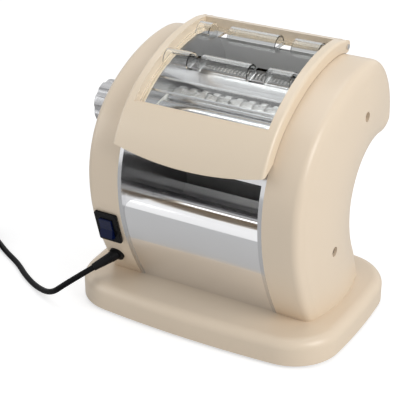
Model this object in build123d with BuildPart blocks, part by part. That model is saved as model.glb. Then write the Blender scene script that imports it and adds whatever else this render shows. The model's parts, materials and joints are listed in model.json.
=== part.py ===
"""Electric pasta maker: two rounded housings on an oval base, with three pairs of rollers
between them under a hinged lid.

X runs along the rollers, Z up. Side sketches use (y, z) measured from the middle of the base.
"""

import os
from math import acos, atan2, cos, degrees, hypot, pi, radians, sin, sqrt, tan

from build123d import *

os.makedirs("parts", exist_ok=True)

# ---------------------------------------------------------------- widths along X
ROLLER_HALF = 72.3
END_GAP = 0.7
PLATE_T = 4.0
HOUSING_W = 42.5
PLATE_IN = ROLLER_HALF + END_GAP
PLATE_OUT = PLATE_IN + PLATE_T
HOUSING_OUT = PLATE_OUT + HOUSING_W
HOUSING_EDGE_X = HOUSING_OUT - 6.5
HOUSING_FACE_INSET = 12.0
HOUSING_EDGE_R = 8.0
HOUSING_WALL = 3.0
RAIL_IN = PLATE_IN - 3.0
RAIL_OUT = PLATE_OUT + 2.4

# ---------------------------------------------------------------- base and side outline
BASE_MARGIN = 23.5
BASE_W = 2 * (HOUSING_OUT + BASE_MARGIN)
BASE_D = 200.4
BASE_BOW_X = 6.8
BASE_BOW_Y = 8.0
BASE_CORNER_R = 50.0
BASE_EDGE_R = 10.0
BASE_WALL = 3.0
FOOT_H = 3.0
FOOT_R = 9.0
FOOT_X = BASE_W / 2 - 35.0
FOOT_Y = 64.0
DECK_Z = 29.0
REAR_REACH = 120.9
LOBE_Y = REAR_REACH - 22.5
BASE_Y = -(REAR_REACH - BASE_D / 2) / 2

# Side outline of plates and housings: y, z and heading in degrees, joined by pairs of arcs.
OUTLINE = (
    (-52.7, DECK_Z, 121.1),
    (-90.2, 142.5, 90.0),
    (54.9, 255.8, 0.0),
    (REAR_REACH, 182.5, -90.0),
    (LOBE_Y, 166.7, 173.1),
    (32.8, 111.0, -90.0),
    (61.2, DECK_Z, -71.6),
)
SKIRT = 15.0

# ---------------------------------------------------------------- lid
LID_GAP = 0.6
LID_RISE = 13.0
LID_SKIN = 2.2
RAIL_WALL = 2.0
RAIL_EDGE_R = 3.0
HINGE_Y = 78.0
HINGE_RISE = 7.0
HINGE_PIN_R = 1.5
HINGE_EAR_R = 3.3
HINGE_ROUND_R = 6.3
LID_FRONT_Y = -68.5
CROSSBAR_Y = 66.0
CROSSBAR_BACK = 84.0
GLASS_TOP = 4.0
GLASS_T = 2.5
HOOD_R = 10.8
HOOD_T = 1.8
FRONT_HOOD_Y = -8.0
REAR_HOOD_Y = 49.0
FRONT_HOODS = ((-69.0, -43.0), (-30.0, 21.0), (40.0, 65.0))
REAR_HOODS = ((-66.0, -52.0), (-31.0, 21.0), (38.0, 66.0))
FEED_SLOTS = ((-41.5, -31.5), (23.0, 38.5))

# ---------------------------------------------------------------- rollers, (y, z) of each axis
FRONT_ROLLER = (-43.5, 185.1)
REAR_ROLLER = (-14.1, 191.0)
SMOOTH_R = 14.0
FETTUCCINE_1 = (12.0, 200.0)
FETTUCCINE_2 = (28.96, 189.4)
TAGLIOLINI_1 = (66.0, 208.0)
TAGLIOLINI_2 = (77.5, 191.64)
CUTTER_R = 11.0
CUTTER_ROOT_R = 8.7
FETTUCCINE_W = 6.4
FETTUCCINE_PITCH = 13.0
TAGLIOLINI_W = 1.9
TAGLIOLINI_PITCH = 4.0
GAP_TRAVEL = 1.8

# ---------------------------------------------------------------- shafts and bushes
FIT = 0.05
SMOOTH_JOURNAL_R = 7.0
BLOCK_JOURNAL_R = 9.0
GEAR_SHAFT_R = 5.0
CUTTER_SHAFT_R = 4.0
SMOOTH_BUSH_R = 9.0
CUTTER_BUSH_R = 6.5
BUSH_STAND = 1.0
IDLER_PIN_R = 4.0

# ---------------------------------------------------------------- gears
PAIR_MODULE = 2.35
PAIR_TEETH = 12
TRAIN_MODULE = 2.0
PRESSURE = 25.0
BACKLASH = 0.16
FRONT_DRIVE_TEETH = 16
SHEET_IDLER_TEETH = 34
MOTOR_TEETH = 12
SMALL_TEETH = 10
BRIDGE_TEETH = 17
MOTOR_AXIS = (-5.0, 100.0)
GEAR_W = 8.0
PAIR_X = (PLATE_OUT + 5.0, PLATE_OUT + 5.0 + GEAR_W)
TRAIN_X = (PAIR_X[1] + 2.0, PAIR_X[1] + 2.0 + GEAR_W)
CLIP_X = (TRAIN_X[1] + 0.1, TRAIN_X[1] + 1.1)
SHAFT_END_X = TRAIN_X[1] + 2.0

# ---------------------------------------------------------------- motor
MOTOR_CENTRE = (-10.0, 60.0)
MOTOR_R = 25.0
MOTOR_X = (-45.0, 35.0)
GEARBOX_R = 27.0

# ---------------------------------------------------------------- tie rods and screws
TIE_R = 4.0
TIE_RODS = ((-24.4, 95.4), (38.5, 208.9), (REAR_REACH - 20.9, 188.0), (44.0, 42.0))
HOUSING_SCREWS = TIE_RODS[:2]
RIVETED_RODS = TIE_RODS[2:]
BOSS_R = 4.5

# ---------------------------------------------------------------- adjuster
CARRIAGE_ANGLE = degrees(atan2(REAR_ROLLER[1] - FRONT_ROLLER[1], REAR_ROLLER[0] - FRONT_ROLLER[0]))
BLOCK_L = 30.0
BLOCK_LIP = 2.0
BAR_U = 12.5
BAR_P = 11.5
BAR_R = 1.8
ECCENTRICITY = GAP_TRAVEL / 2
DRIVE_PIN_R = 3.0
SPINDLE_R = 6.0
FLANGE_R = 10.0
KNOB_X = (HOUSING_OUT + 3.5, HOUSING_OUT + 19.5)
KNOB_R = 23.0
KNOB_LOBES = 8

# ---------------------------------------------------------------- switch and cord outlet
SWITCH_X = -PLATE_OUT - 17.0
SWITCH_AT = (-83.45, 91.5)
SWITCH_LEAN = 16.0
SWITCH_PLATE = (26.0, 36.0)
SWITCH_BODY = (20.0, 30.0)
ROCKER_R = 11.5
ROCKER_W = 14.0
ROCKER_SWING = 22.0
ROCKER_FLOOR = 5.5
POCKET_FLOOR = 9.0

# ---------------------------------------------------------------- cord
CORD_D = 6.0
COIL_R = 33.0


def side(x):
    return Plane(origin=(x, BASE_Y, 0), x_dir=(0, 1, 0), z_dir=(1, 0, 0))


def level(z):
    return Plane(origin=(0, BASE_Y, z))


def front(y):
    return Plane(origin=(0, BASE_Y + y, 0), x_dir=(1, 0, 0), z_dir=(0, -1, 0))


# ================================================================ outline helpers
def arc_pairs(keys, grow):
    """Points of the arcs through the keys, moved out to the left of the heading by grow."""
    stops = []
    for (y0, z0, h0), (y1, z1, h1) in zip(keys, keys[1:]):
        p, q = Vector(y0, z0), Vector(y1, z1)
        tp = Vector(cos(radians(h0)), sin(radians(h0)))
        tq = Vector(cos(radians(h1)), sin(radians(h1)))
        v, t = q - p, tp + tq
        a, b, c = 2 * (1 - tp.dot(tq)), v.dot(t), v.dot(v)
        d = (-b + sqrt(b * b + a * c)) / a
        m = (p + q + (tp - tq) * d) * 0.5
        chord = (m - p).normalized()
        tm = chord * (2 * tp.dot(chord)) - tp
        stops += [(p, tp), (m, tm)]
    stops.append((q, tq))
    return [(point + Vector(-t.Y, t.X) * grow, t) for point, t in stops]


def outline_face(x, grow, floor=DECK_Z):
    """The side outline as a face at width x, moved outwards by grow and cut at the floor."""
    stops = arc_pairs(OUTLINE, grow)
    first = stops[0][0] - stops[0][1] * SKIRT
    last = stops[-1][0] + stops[-1][1] * SKIRT
    with BuildSketch(side(x)) as sk:
        with BuildLine():
            Line(first, stops[0][0])
            for (p, t), (q, _) in zip(stops, stops[1:]):
                TangentArc(p, q, tangent=t)
            Line(stops[-1][0], last)
            Line(last, first)
        make_face()
        with Locations((0, floor + 200)):
            Rectangle(400, 400, mode=Mode.INTERSECT)
    return sk.sketch


def roof(y, grow):
    """Height of the outline's top side at y."""
    for (p, t), (q, _) in zip(arc_pairs(OUTLINE, grow), arc_pairs(OUTLINE, grow)[1:]):
        if p.X <= y <= q.X and p.Y > 140:
            n = Vector(t.Y, -t.X)
            chord = q - p
            r = chord.dot(chord) / (2 * n.dot(chord))
            c = p + n * r
            return c.Y + sqrt(r * r - (y - c.X) ** 2)
    raise ValueError("no roof over y = %g" % y)


HINGE = (HINGE_Y, roof(HINGE_Y, HINGE_RISE))


def lean(point, turn):
    """A sketch plane angle's (u, p) axes turned into (y, z) about a point."""
    a = radians(CARRIAGE_ANGLE)
    u, p = turn
    return (point[0] + u * cos(a) - p * sin(a), point[1] + u * sin(a) + p * cos(a))


def sheet_face(x, keys, thickness):
    """A bent sheet seen from the side: outer face along the keys, thickness to the right."""
    outer = arc_pairs(keys, 0)
    inner = arc_pairs(keys, -thickness)
    with BuildSketch(side(x)) as sk:
        with BuildLine():
            for (p, t), (q, _) in zip(outer, outer[1:]):
                TangentArc(p, q, tangent=t)
            Line(outer[-1][0], inner[-1][0])
            for (p, t), (q, _) in zip(inner, inner[1:]):
                TangentArc(p, q, tangent=t)
            Line(inner[0][0], outer[0][0])
        make_face()
    return sk.sketch


def discs(x, spots, radius):
    with BuildSketch(side(x)) as sk:
        with Locations(*spots):
            Circle(radius)
    return sk.sketch


def gear_face(x, axis, teeth, module, phase, bore, addendum, dedendum):
    """A spur gear with a tooth at the phase angle (degrees, from +y towards +z)."""
    pitch_r = teeth * module / 2
    base_r = pitch_r * cos(radians(PRESSURE))
    tip_r = pitch_r + addendum * module
    root_r = pitch_r - dedendum * module
    half_pitch = (pi * module / 2 - BACKLASH / 2) / 2 / pitch_r
    inv = tan(radians(PRESSURE)) - radians(PRESSURE)

    def half_angle(r):
        if r <= base_r:
            return half_pitch + inv
        alpha = acos(base_r / r)
        return half_pitch + inv - (tan(alpha) - alpha)

    start_r = max(base_r, root_r)
    mid_r = (start_r + tip_r) / 2
    with BuildSketch(side(x)) as sk:
        with Locations(axis):
            Circle(root_r)
        for k in range(teeth):
            centre = radians(phase) + k * 2 * pi / teeth

            def at(r, side_sign):
                angle = centre + side_sign * half_angle(r)
                return (axis[0] + r * cos(angle), axis[1] + r * sin(angle))

            with BuildLine():
                Line(at(root_r - 0.6, 1), at(start_r, 1))
                ThreePointArc(at(start_r, 1), at(mid_r, 1), at(tip_r, 1))
                ThreePointArc(
                    at(tip_r, 1),
                    (axis[0] + tip_r * cos(centre), axis[1] + tip_r * sin(centre)),
                    at(tip_r, -1),
                )
                ThreePointArc(at(tip_r, -1), at(mid_r, -1), at(start_r, -1))
                Line(at(start_r, -1), at(root_r - 0.6, -1))
                Line(at(root_r - 0.6, -1), at(root_r - 0.6, 1))
            make_face()
        with Locations(axis):
            Circle(bore, mode=Mode.SUBTRACT)
    return sk.sketch


def mesh_phase(first, second, teeth_1, teeth_2, phase_1):
    """Phase of a second gear that meshes with the first."""
    theta = degrees(atan2(second[1] - first[1], second[0] - first[0]))
    turns = (theta - phase_1) / (360 / teeth_1)
    return theta + 180 - 360 / teeth_2 * (0.5 - turns)


def beside(a, b, ra, rb, sign):
    """Centre at ra from a and rb from b, on the side of line a-b given by sign."""
    ay, az = a
    dy, dz = b[0] - ay, b[1] - az
    d = hypot(dy, dz)
    along = (ra * ra - rb * rb + d * d) / (2 * d)
    up = sqrt(ra * ra - along * along) * sign
    return (ay + (dy * along - dz * up) / d, az + (dz * along + dy * up) / d)


# Idler axes follow from the pitch radii.
SHEET_IDLER = beside(
    FRONT_ROLLER,
    MOTOR_AXIS,
    TRAIN_MODULE * (FRONT_DRIVE_TEETH + SHEET_IDLER_TEETH) / 2,
    TRAIN_MODULE * (MOTOR_TEETH + SHEET_IDLER_TEETH) / 2,
    1,
)
CUTTER_IDLER = beside(
    SHEET_IDLER,
    FETTUCCINE_2,
    TRAIN_MODULE * (SHEET_IDLER_TEETH + SMALL_TEETH) / 2,
    TRAIN_MODULE * SMALL_TEETH,
    -1,
)
BRIDGE_IDLER = beside(
    FETTUCCINE_2,
    TAGLIOLINI_2,
    TRAIN_MODULE * (SMALL_TEETH + BRIDGE_TEETH) / 2,
    TRAIN_MODULE * (SMALL_TEETH + BRIDGE_TEETH) / 2,
    -1,
)


def base_face(z, grow):
    """The oval of the base at height z: four shallow arcs joined by round corners."""
    x, y = BASE_W / 2 - BASE_BOW_X, BASE_D / 2 - BASE_BOW_Y
    front_r = (x * x + BASE_BOW_Y**2) / (2 * BASE_BOW_Y)
    side_r = (y * y + BASE_BOW_X**2) / (2 * BASE_BOW_X)
    front_centre = Vector(0, front_r - BASE_D / 2)
    side_centre = Vector(BASE_W / 2 - side_r, 0)
    spot = beside(
        (0, front_centre.Y), (side_centre.X, 0), front_r - BASE_CORNER_R, side_r - BASE_CORNER_R, 1
    )
    corner = Vector(*spot)
    if corner.Y > 0:
        raise ValueError("the corner centre is on the wrong side")
    to_front = (corner - front_centre).normalized()
    to_side = (corner - side_centre).normalized()
    low = corner + to_front * (BASE_CORNER_R + grow)
    high = corner + to_side * (BASE_CORNER_R + grow)
    mid = corner + (to_front + to_side).normalized() * (BASE_CORNER_R + grow)
    half_w, half_d = BASE_W / 2 + grow, BASE_D / 2 + grow
    with BuildSketch(level(z)) as sk:
        with BuildLine():
            ThreePointArc((-low.X, low.Y), (0, -half_d), (low.X, low.Y))
            ThreePointArc((low.X, low.Y), (mid.X, mid.Y), (high.X, high.Y))
            ThreePointArc((high.X, high.Y), (half_w, 0), (high.X, -high.Y))
            ThreePointArc((high.X, -high.Y), (mid.X, -mid.Y), (low.X, -low.Y))
            ThreePointArc((low.X, -low.Y), (0, half_d), (-low.X, -low.Y))
            ThreePointArc((-low.X, -low.Y), (-mid.X, -mid.Y), (-high.X, -high.Y))
            ThreePointArc((-high.X, -high.Y), (-half_w, 0), (-high.X, high.Y))
            ThreePointArc((-high.X, high.Y), (-mid.X, mid.Y), (-low.X, low.Y))
        make_face()
    return sk.sketch


def save(part, name):
    part.part.label = name
    export_step(part.part, f"parts/{name}.step")


# ================================================================ base
with BuildPart() as base_hollow:
    extrude(to_extrude=base_face(FOOT_H, -BASE_WALL), amount=DECK_Z - FOOT_H - BASE_WALL)
    fillet(base_hollow.faces().sort_by(Axis.Z)[-1].edges(), BASE_EDGE_R - BASE_WALL)

BASE_SCREWS = [(x, y) for x in (-70, 70) for y in (-78, 78)]
FEET = [(x, y) for x in (-FOOT_X, FOOT_X) for y in (-FOOT_Y, FOOT_Y)]
FRAME_SCREWS = [(x, y) for x in (-65.5, 65.5) for y in (-30, 35)]
PLATE_T = 2.0

with BuildPart() as base_cover:
    extrude(to_extrude=base_face(FOOT_H, 0), amount=DECK_Z - FOOT_H)
    fillet(base_cover.faces().sort_by(Axis.Z)[-1].edges(), BASE_EDGE_R)
    add(base_hollow.part, mode=Mode.SUBTRACT)
    with BuildSketch(level(FOOT_H + PLATE_T)):
        with Locations(*BASE_SCREWS):
            Circle(4)
    extrude(amount=DECK_Z - FOOT_H - PLATE_T - 2)
    with BuildSketch(level(FOOT_H + PLATE_T)):
        with Locations(*BASE_SCREWS):
            Circle(1.5)
    extrude(amount=14, mode=Mode.SUBTRACT)
    with BuildSketch(level(DECK_Z)):
        with Locations(*FRAME_SCREWS):
            Circle(2)
    extrude(amount=-8, mode=Mode.SUBTRACT)
save(base_cover, "base_cover")

with BuildPart() as base_plate:
    extrude(to_extrude=base_face(FOOT_H, -BASE_WALL - 0.2), amount=PLATE_T)
    with BuildSketch(level(FOOT_H)):
        with Locations(*BASE_SCREWS):
            Circle(1.5)
        with Locations(*FEET):
            Circle(3)
        for x in (-48, -24, 0, 24, 48):
            with Locations((x, 0)):
                SlotOverall(50, 5, rotation=90)
    extrude(amount=PLATE_T, mode=Mode.SUBTRACT)
save(base_plate, "base_plate")

with BuildPart() as rubber_feet:
    with BuildSketch(level(0)):
        with Locations(*FEET):
            Circle(FOOT_R)
    extrude(amount=FOOT_H)
    chamfer(rubber_feet.faces().sort_by(Axis.Z)[0:4].edges(), 0.8)
    with BuildSketch(level(FOOT_H)):
        with Locations(*FEET):
            Circle(3)
    extrude(amount=PLATE_T)
    with BuildSketch(level(FOOT_H + PLATE_T)):
        with Locations(*FEET):
            Circle(4)
    extrude(amount=1.6)
save(rubber_feet, "rubber_feet")

with BuildPart() as base_screws:
    with BuildSketch(level(FOOT_H)):
        with Locations(*BASE_SCREWS):
            Circle(3)
    extrude(amount=-1.8)
    with BuildSketch(level(FOOT_H)):
        with Locations(*BASE_SCREWS):
            Circle(1.5)
    extrude(amount=14)
save(base_screws, "base_screws")

with BuildPart() as frame_screws:
    with BuildSketch(level(DECK_Z - BASE_WALL)):
        with Locations(*FRAME_SCREWS):
            Circle(3.6)
    extrude(amount=-2.4)
    with BuildSketch(level(DECK_Z - BASE_WALL)):
        with Locations(*FRAME_SCREWS):
            Circle(2)
    extrude(amount=BASE_WALL + 3)
save(frame_screws, "frame_screws")

# ================================================================ side plates
FLANGE = (58.0, -40.0, 45.0, 3.0)
WINDOW_L = BLOCK_L + GAP_TRAVEL + 4 * FIT
WINDOW_AT = lean(REAR_ROLLER, (-GAP_TRAVEL / 2, 0))
CUTTERS = (FETTUCCINE_1, FETTUCCINE_2, TAGLIOLINI_1, TAGLIOLINI_2)
IDLERS = (SHEET_IDLER, CUTTER_IDLER, BRIDGE_IDLER)
GEARBOX_SCREWS = ((-31.0, 60.0), (6.0, 74.0), (-10.0, 39.0))
WIRE_HOLE = (-40.0, 80.0)


def side_plate(x, flange_x):
    with BuildPart() as plate:
        extrude(to_extrude=outline_face(x, 0), amount=PLATE_OUT - PLATE_IN)
        with BuildSketch(side(x)):
            with Locations(HINGE):
                Circle(HINGE_EAR_R)
            with Locations((HINGE[0], HINGE[1] - 5)):
                Rectangle(2 * HINGE_EAR_R, 10)
        extrude(amount=PLATE_OUT - PLATE_IN)
        with BuildSketch(level(DECK_Z)):
            with Locations((flange_x, (FLANGE[1] + FLANGE[2]) / 2)):
                Rectangle(PLATE_IN - FLANGE[0], FLANGE[2] - FLANGE[1])
        extrude(amount=FLANGE[3])
        with BuildSketch(level(DECK_Z)):
            with Locations(*FRAME_SCREWS):
                Circle(2)
        extrude(amount=FLANGE[3], mode=Mode.SUBTRACT)
        with BuildSketch(side(x)):
            with Locations(FRONT_ROLLER):
                Circle(SMOOTH_BUSH_R)
            with Locations(*CUTTERS):
                Circle(CUTTER_BUSH_R)
            with Locations(WINDOW_AT):
                Rectangle(WINDOW_L, BLOCK_L + 2 * FIT, rotation=CARRIAGE_ANGLE)
            with Locations(*TIE_RODS):
                Circle(2.5)
            with Locations(HINGE):
                Circle(HINGE_PIN_R)
        extrude(amount=PLATE_OUT - PLATE_IN, mode=Mode.SUBTRACT)
    return plate.part


with BuildPart() as right_side_plate:
    add(side_plate(PLATE_IN, (PLATE_IN + FLANGE[0]) / 2))
    with BuildSketch(side(PLATE_IN)):
        with Locations(*IDLERS):
            Circle(IDLER_PIN_R)
        with Locations(MOTOR_AXIS):
            Circle(GEAR_SHAFT_R + 1)
        with Locations(*GEARBOX_SCREWS):
            Circle(2)
    extrude(amount=PLATE_OUT - PLATE_IN, mode=Mode.SUBTRACT)
save(right_side_plate, "right_side_plate")

with BuildPart() as left_side_plate:
    add(side_plate(-PLATE_OUT, -(PLATE_IN + FLANGE[0]) / 2))
    with BuildSketch(side(-PLATE_OUT)):
        with Locations(WIRE_HOLE):
            Circle(7)
    extrude(amount=PLATE_OUT - PLATE_IN, mode=Mode.SUBTRACT)
save(left_side_plate, "left_side_plate")

with BuildPart() as tie_rods:
    extrude(to_extrude=discs(-PLATE_IN, TIE_RODS, TIE_R), amount=2 * PLATE_IN)
    for end in (-1, 1):
        extrude(to_extrude=discs(end * PLATE_IN, HOUSING_SCREWS, 2.5), amount=-end * 15, mode=Mode.SUBTRACT)
        extrude(to_extrude=discs(end * PLATE_IN, RIVETED_RODS, 2.5), amount=end * (PLATE_OUT - PLATE_IN))
        extrude(to_extrude=discs(end * PLATE_OUT, RIVETED_RODS, 4.2), amount=end * 1.6)
save(tie_rods, "tie_rods")

# ================================================================ housings
SCREW_SEAT_X = HOUSING_OUT - 11.5
BOSS_STEP_X = SCREW_SEAT_X - 4.0
CAVITY_X = HOUSING_OUT - 9.5

with BuildPart() as housing_shell:
    extrude(to_extrude=outline_face(PLATE_OUT, 0), amount=HOUSING_OUT - PLATE_OUT)
    end_edges = housing_shell.faces().sort_by(Axis.X)[-1].edges().filter_by(lambda e: e.center().Z > DECK_Z + 0.01)
    chamfer(end_edges, length=HOUSING_OUT - HOUSING_EDGE_X, length2=HOUSING_FACE_INSET)
    rim = housing_shell.edges().filter_by(
        lambda e: abs(e.bounding_box().min.X - HOUSING_EDGE_X) < 0.02
        and abs(e.bounding_box().max.X - HOUSING_EDGE_X) < 0.02
        and e.center().Z > DECK_Z + 1
    )
    fillet(rim, HOUSING_EDGE_R)
    extrude(to_extrude=outline_face(PLATE_OUT, -HOUSING_WALL, DECK_Z + HOUSING_WALL), amount=CAVITY_X - PLATE_OUT, mode=Mode.SUBTRACT)
    extrude(to_extrude=outline_face(CAVITY_X, -13, DECK_Z + HOUSING_WALL), amount=6.5, mode=Mode.SUBTRACT)
    extrude(to_extrude=discs(PLATE_OUT, HOUSING_SCREWS, BOSS_R), amount=BOSS_STEP_X - PLATE_OUT)
    extrude(to_extrude=discs(BOSS_STEP_X, HOUSING_SCREWS, 7), amount=HOUSING_OUT - BOSS_STEP_X - 1)
    extrude(to_extrude=discs(TRAIN_X[0] - 1, [BRIDGE_IDLER], 19.6), amount=10, mode=Mode.SUBTRACT)
    extrude(to_extrude=discs(SCREW_SEAT_X, HOUSING_SCREWS, 5), amount=20, mode=Mode.SUBTRACT)
    extrude(to_extrude=discs(PLATE_OUT, HOUSING_SCREWS, 2.6), amount=40, mode=Mode.SUBTRACT)

left_shell = mirror(housing_shell.part, about=Plane.YZ)

with BuildPart() as right_housing:
    add(housing_shell.part)
save(right_housing, "right_housing")

SPINDLE = lean(REAR_ROLLER, (-ECCENTRICITY, 0))
SWITCH_FACE = Plane(
    origin=(SWITCH_X, BASE_Y + SWITCH_AT[0], SWITCH_AT[1]),
    x_dir=(1, 0, 0),
    z_dir=(0, -cos(radians(SWITCH_LEAN)), -sin(radians(SWITCH_LEAN))),
)


def switch_side(x):
    """Across the switch: local x runs up the band, local y outwards."""
    return Plane(
        origin=(SWITCH_X + x, BASE_Y + SWITCH_AT[0], SWITCH_AT[1]),
        x_dir=(0, -sin(radians(SWITCH_LEAN)), cos(radians(SWITCH_LEAN))),
        z_dir=(1, 0, 0),
    )


GLAND_AT = (-PLATE_OUT - 20.0, BASE_Y - 65.5, 52.0)
GLAND_LEAN = 26.8
GLAND_FACE = Plane(
    origin=GLAND_AT,
    x_dir=(1, 0, 0),
    z_dir=(0, -cos(radians(GLAND_LEAN)), -sin(radians(GLAND_LEAN))),
)
GLAND_TUBE_R = 6.9
OUTLET = Vector(-0.55, -0.75, -0.37).normalized()

with BuildPart() as left_housing:
    add(left_shell)
    extrude(to_extrude=discs(-HOUSING_OUT + 1, [SPINDLE], FLANGE_R), amount=17.5)
    extrude(to_extrude=discs(-HOUSING_OUT - 1, [SPINDLE], SPINDLE_R + FIT), amount=40, mode=Mode.SUBTRACT)
    with BuildSketch(SWITCH_FACE.offset(-1)):
        Rectangle(SWITCH_PLATE[0] + 0.2, SWITCH_PLATE[1] + 0.2)
    extrude(amount=8, mode=Mode.SUBTRACT)
    with BuildSketch(SWITCH_FACE.offset(-8)):
        Rectangle(SWITCH_BODY[0] + 0.2, SWITCH_BODY[1] + 0.2)
    extrude(amount=10, mode=Mode.SUBTRACT)
    with BuildSketch(GLAND_FACE.offset(-0.6)):
        Circle(8.2)
    extrude(amount=5, mode=Mode.SUBTRACT)
    with BuildSketch(GLAND_FACE.offset(-8)):
        Circle(GLAND_TUBE_R)
    extrude(amount=10, mode=Mode.SUBTRACT)
save(left_housing, "left_housing")


with BuildPart() as housing_screws:
    for end in (-1, 1):
        extrude(to_extrude=discs(end * SCREW_SEAT_X, HOUSING_SCREWS, 4.2), amount=end * 3.5)
        with BuildSketch(side(end * (SCREW_SEAT_X + 3.5))):
            with Locations(*HOUSING_SCREWS):
                Rectangle(5.6, 1.1)
                Rectangle(1.1, 5.6)
        extrude(amount=-end * 1.6, mode=Mode.SUBTRACT)
        extrude(to_extrude=discs(end * SCREW_SEAT_X, HOUSING_SCREWS, 2.5), amount=-end * 48)
save(housing_screws, "housing_screws")

# ================================================================ sheet panels between the plates
FRONT_PANEL = (
    (-51.8, DECK_Z, 121.1),
    (-78.4, 84.0, 110.5),
    (-86.5, 114.5, 99.0),
    (-64.6, 135.6, 0.0),
    (-48.0, 130.3, -36.0),
    (-22.6, 116.0, -22.0),
    (10.0, 108.0, -8.0),
)
SHEET = 1.5

with BuildPart() as front_panel:
    extrude(to_extrude=sheet_face(-PLATE_IN, FRONT_PANEL, SHEET), amount=2 * PLATE_IN)
    with BuildSketch(level(0)):
        Rectangle(400, 400)
    extrude(amount=DECK_Z, mode=Mode.SUBTRACT)
save(front_panel, "front_panel")

with BuildPart() as rear_panel:
    extrude(to_extrude=outline_face(-PLATE_IN, 0), amount=2 * PLATE_IN)
    extrude(to_extrude=outline_face(-PLATE_IN, -SHEET), amount=2 * PLATE_IN, mode=Mode.SUBTRACT)
    with BuildSketch(side(-PLATE_IN)):
        with Locations((100, 135)):
            Rectangle(200, 202)
    extrude(amount=2 * PLATE_IN, mode=Mode.INTERSECT)
save(rear_panel, "rear_panel")

GUARD_RODS = ((-22.0, 232.0), (-38.0, 225.0))
with BuildPart() as guard_rods:
    extrude(to_extrude=discs(-PLATE_IN, GUARD_RODS, 1.2), amount=2 * PLATE_IN)
save(guard_rods, "guard_rods")

GUARD_SPLIT_X = -56.0
with BuildPart() as cutter_guard:
    with BuildSketch(side(-PLATE_IN)):
        with BuildLine():
            ThreePointArc((28.0, 211.0), (41.0, 220.5), (54.0, 213.5))
            Line((54.0, 213.5), (53.2, 212.7))
            ThreePointArc((53.2, 212.7), (41.0, 219.3), (28.8, 210.2))
            Line((28.8, 210.2), (28.0, 211.0))
        make_face()
    extrude(amount=2 * PLATE_IN)
    with Locations((GUARD_SPLIT_X, 0, 215)):
        Box(0.6, 400, 60, mode=Mode.SUBTRACT)
save(cutter_guard, "cutter_guard")


# ================================================================ rollers and cutters
def turned(axis, steps):
    """A shaft turned about X from (x, radius) steps, each radius held until the next x."""
    plane = Plane(origin=(0, BASE_Y + axis[0], axis[1]), x_dir=(1, 0, 0), z_dir=(0, -1, 0))
    points = [(steps[0][0], 0)]
    for (x0, r), (x1, _) in zip(steps, steps[1:]):
        points += [(x0, r), (x1, r)]
    points += [(steps[-1][0], 0)]
    with BuildPart() as shaft:
        with BuildSketch(plane):
            with BuildLine():
                Polyline(*points, close=True)
            make_face()
        revolve(axis=Axis(plane.origin, (1, 0, 0)))
    return shaft.part


with BuildPart() as front_smooth_roller:
    add(
        turned(
            FRONT_ROLLER,
            [(-PLATE_OUT - 2, SMOOTH_JOURNAL_R), (-ROLLER_HALF, SMOOTH_R), (ROLLER_HALF, SMOOTH_JOURNAL_R),
             (PLATE_OUT + 1.1, GEAR_SHAFT_R), (SHAFT_END_X, 0)],
        )
    )
save(front_smooth_roller, "front_smooth_roller")

BLOCK_IN = ROLLER_HALF + 0.4
BLOCK_RIGHT_OUT = PLATE_OUT + 4.0
BLOCK_LEFT_OUT = PLATE_OUT + 9.0
BLOCK_LEFT_BORE = PLATE_OUT + 2.7
with BuildPart() as rear_smooth_roller:
    add(
        turned(
            REAR_ROLLER,
            [(-PLATE_OUT - 2.5, BLOCK_JOURNAL_R), (-ROLLER_HALF, SMOOTH_R), (ROLLER_HALF, BLOCK_JOURNAL_R),
             (BLOCK_RIGHT_OUT + 0.2, GEAR_SHAFT_R), (PAIR_X[1] + 1.2, 0)],
        )
    )
save(rear_smooth_roller, "rear_smooth_roller")


def cutter(axis, centres, width):
    steps = [(-PLATE_OUT - 2, CUTTER_SHAFT_R), (-ROLLER_HALF, CUTTER_ROOT_R)]
    for x in centres:
        steps += [(x - width / 2, CUTTER_R), (x + width / 2, CUTTER_ROOT_R)]
    steps += [(ROLLER_HALF, CUTTER_SHAFT_R), (SHAFT_END_X, 0)]
    return turned(axis, steps)


WIDE_1 = [FETTUCCINE_PITCH * k for k in range(-5, 6)]
WIDE_2 = [FETTUCCINE_PITCH * (k + 0.5) for k in range(-5, 5)]
NARROW_1 = [TAGLIOLINI_PITCH * k for k in range(-17, 18)]
NARROW_2 = [TAGLIOLINI_PITCH * (k + 0.5) for k in range(-17, 17)]

with BuildPart() as fettuccine_cutter_front:
    add(cutter(FETTUCCINE_1, WIDE_1, FETTUCCINE_W))
save(fettuccine_cutter_front, "fettuccine_cutter_front")

with BuildPart() as fettuccine_cutter_rear:
    add(cutter(FETTUCCINE_2, WIDE_2, FETTUCCINE_W))
save(fettuccine_cutter_rear, "fettuccine_cutter_rear")

with BuildPart() as tagliolini_cutter_front:
    add(cutter(TAGLIOLINI_1, NARROW_1, TAGLIOLINI_W))
save(tagliolini_cutter_front, "tagliolini_cutter_front")

with BuildPart() as tagliolini_cutter_rear:
    add(cutter(TAGLIOLINI_2, NARROW_2, TAGLIOLINI_W))
save(tagliolini_cutter_rear, "tagliolini_cutter_rear")

with BuildPart() as bearing_bushes:
    for x in (-PLATE_OUT - BUSH_STAND, PLATE_IN):
        extrude(to_extrude=discs(x, [FRONT_ROLLER], SMOOTH_BUSH_R), amount=PLATE_OUT - PLATE_IN + BUSH_STAND)
        extrude(to_extrude=discs(x, CUTTERS, CUTTER_BUSH_R), amount=PLATE_OUT - PLATE_IN + BUSH_STAND)
    extrude(to_extrude=discs(-90, [FRONT_ROLLER], SMOOTH_JOURNAL_R + FIT), amount=180, mode=Mode.SUBTRACT)
    extrude(to_extrude=discs(-90, CUTTERS, CUTTER_SHAFT_R + FIT), amount=180, mode=Mode.SUBTRACT)
save(bearing_bushes, "bearing_bushes")

# ================================================================ scrapers and combs
SCRAPERS = ((FRONT_ROLLER, -110.0), (REAR_ROLLER, -72.0))


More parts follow.
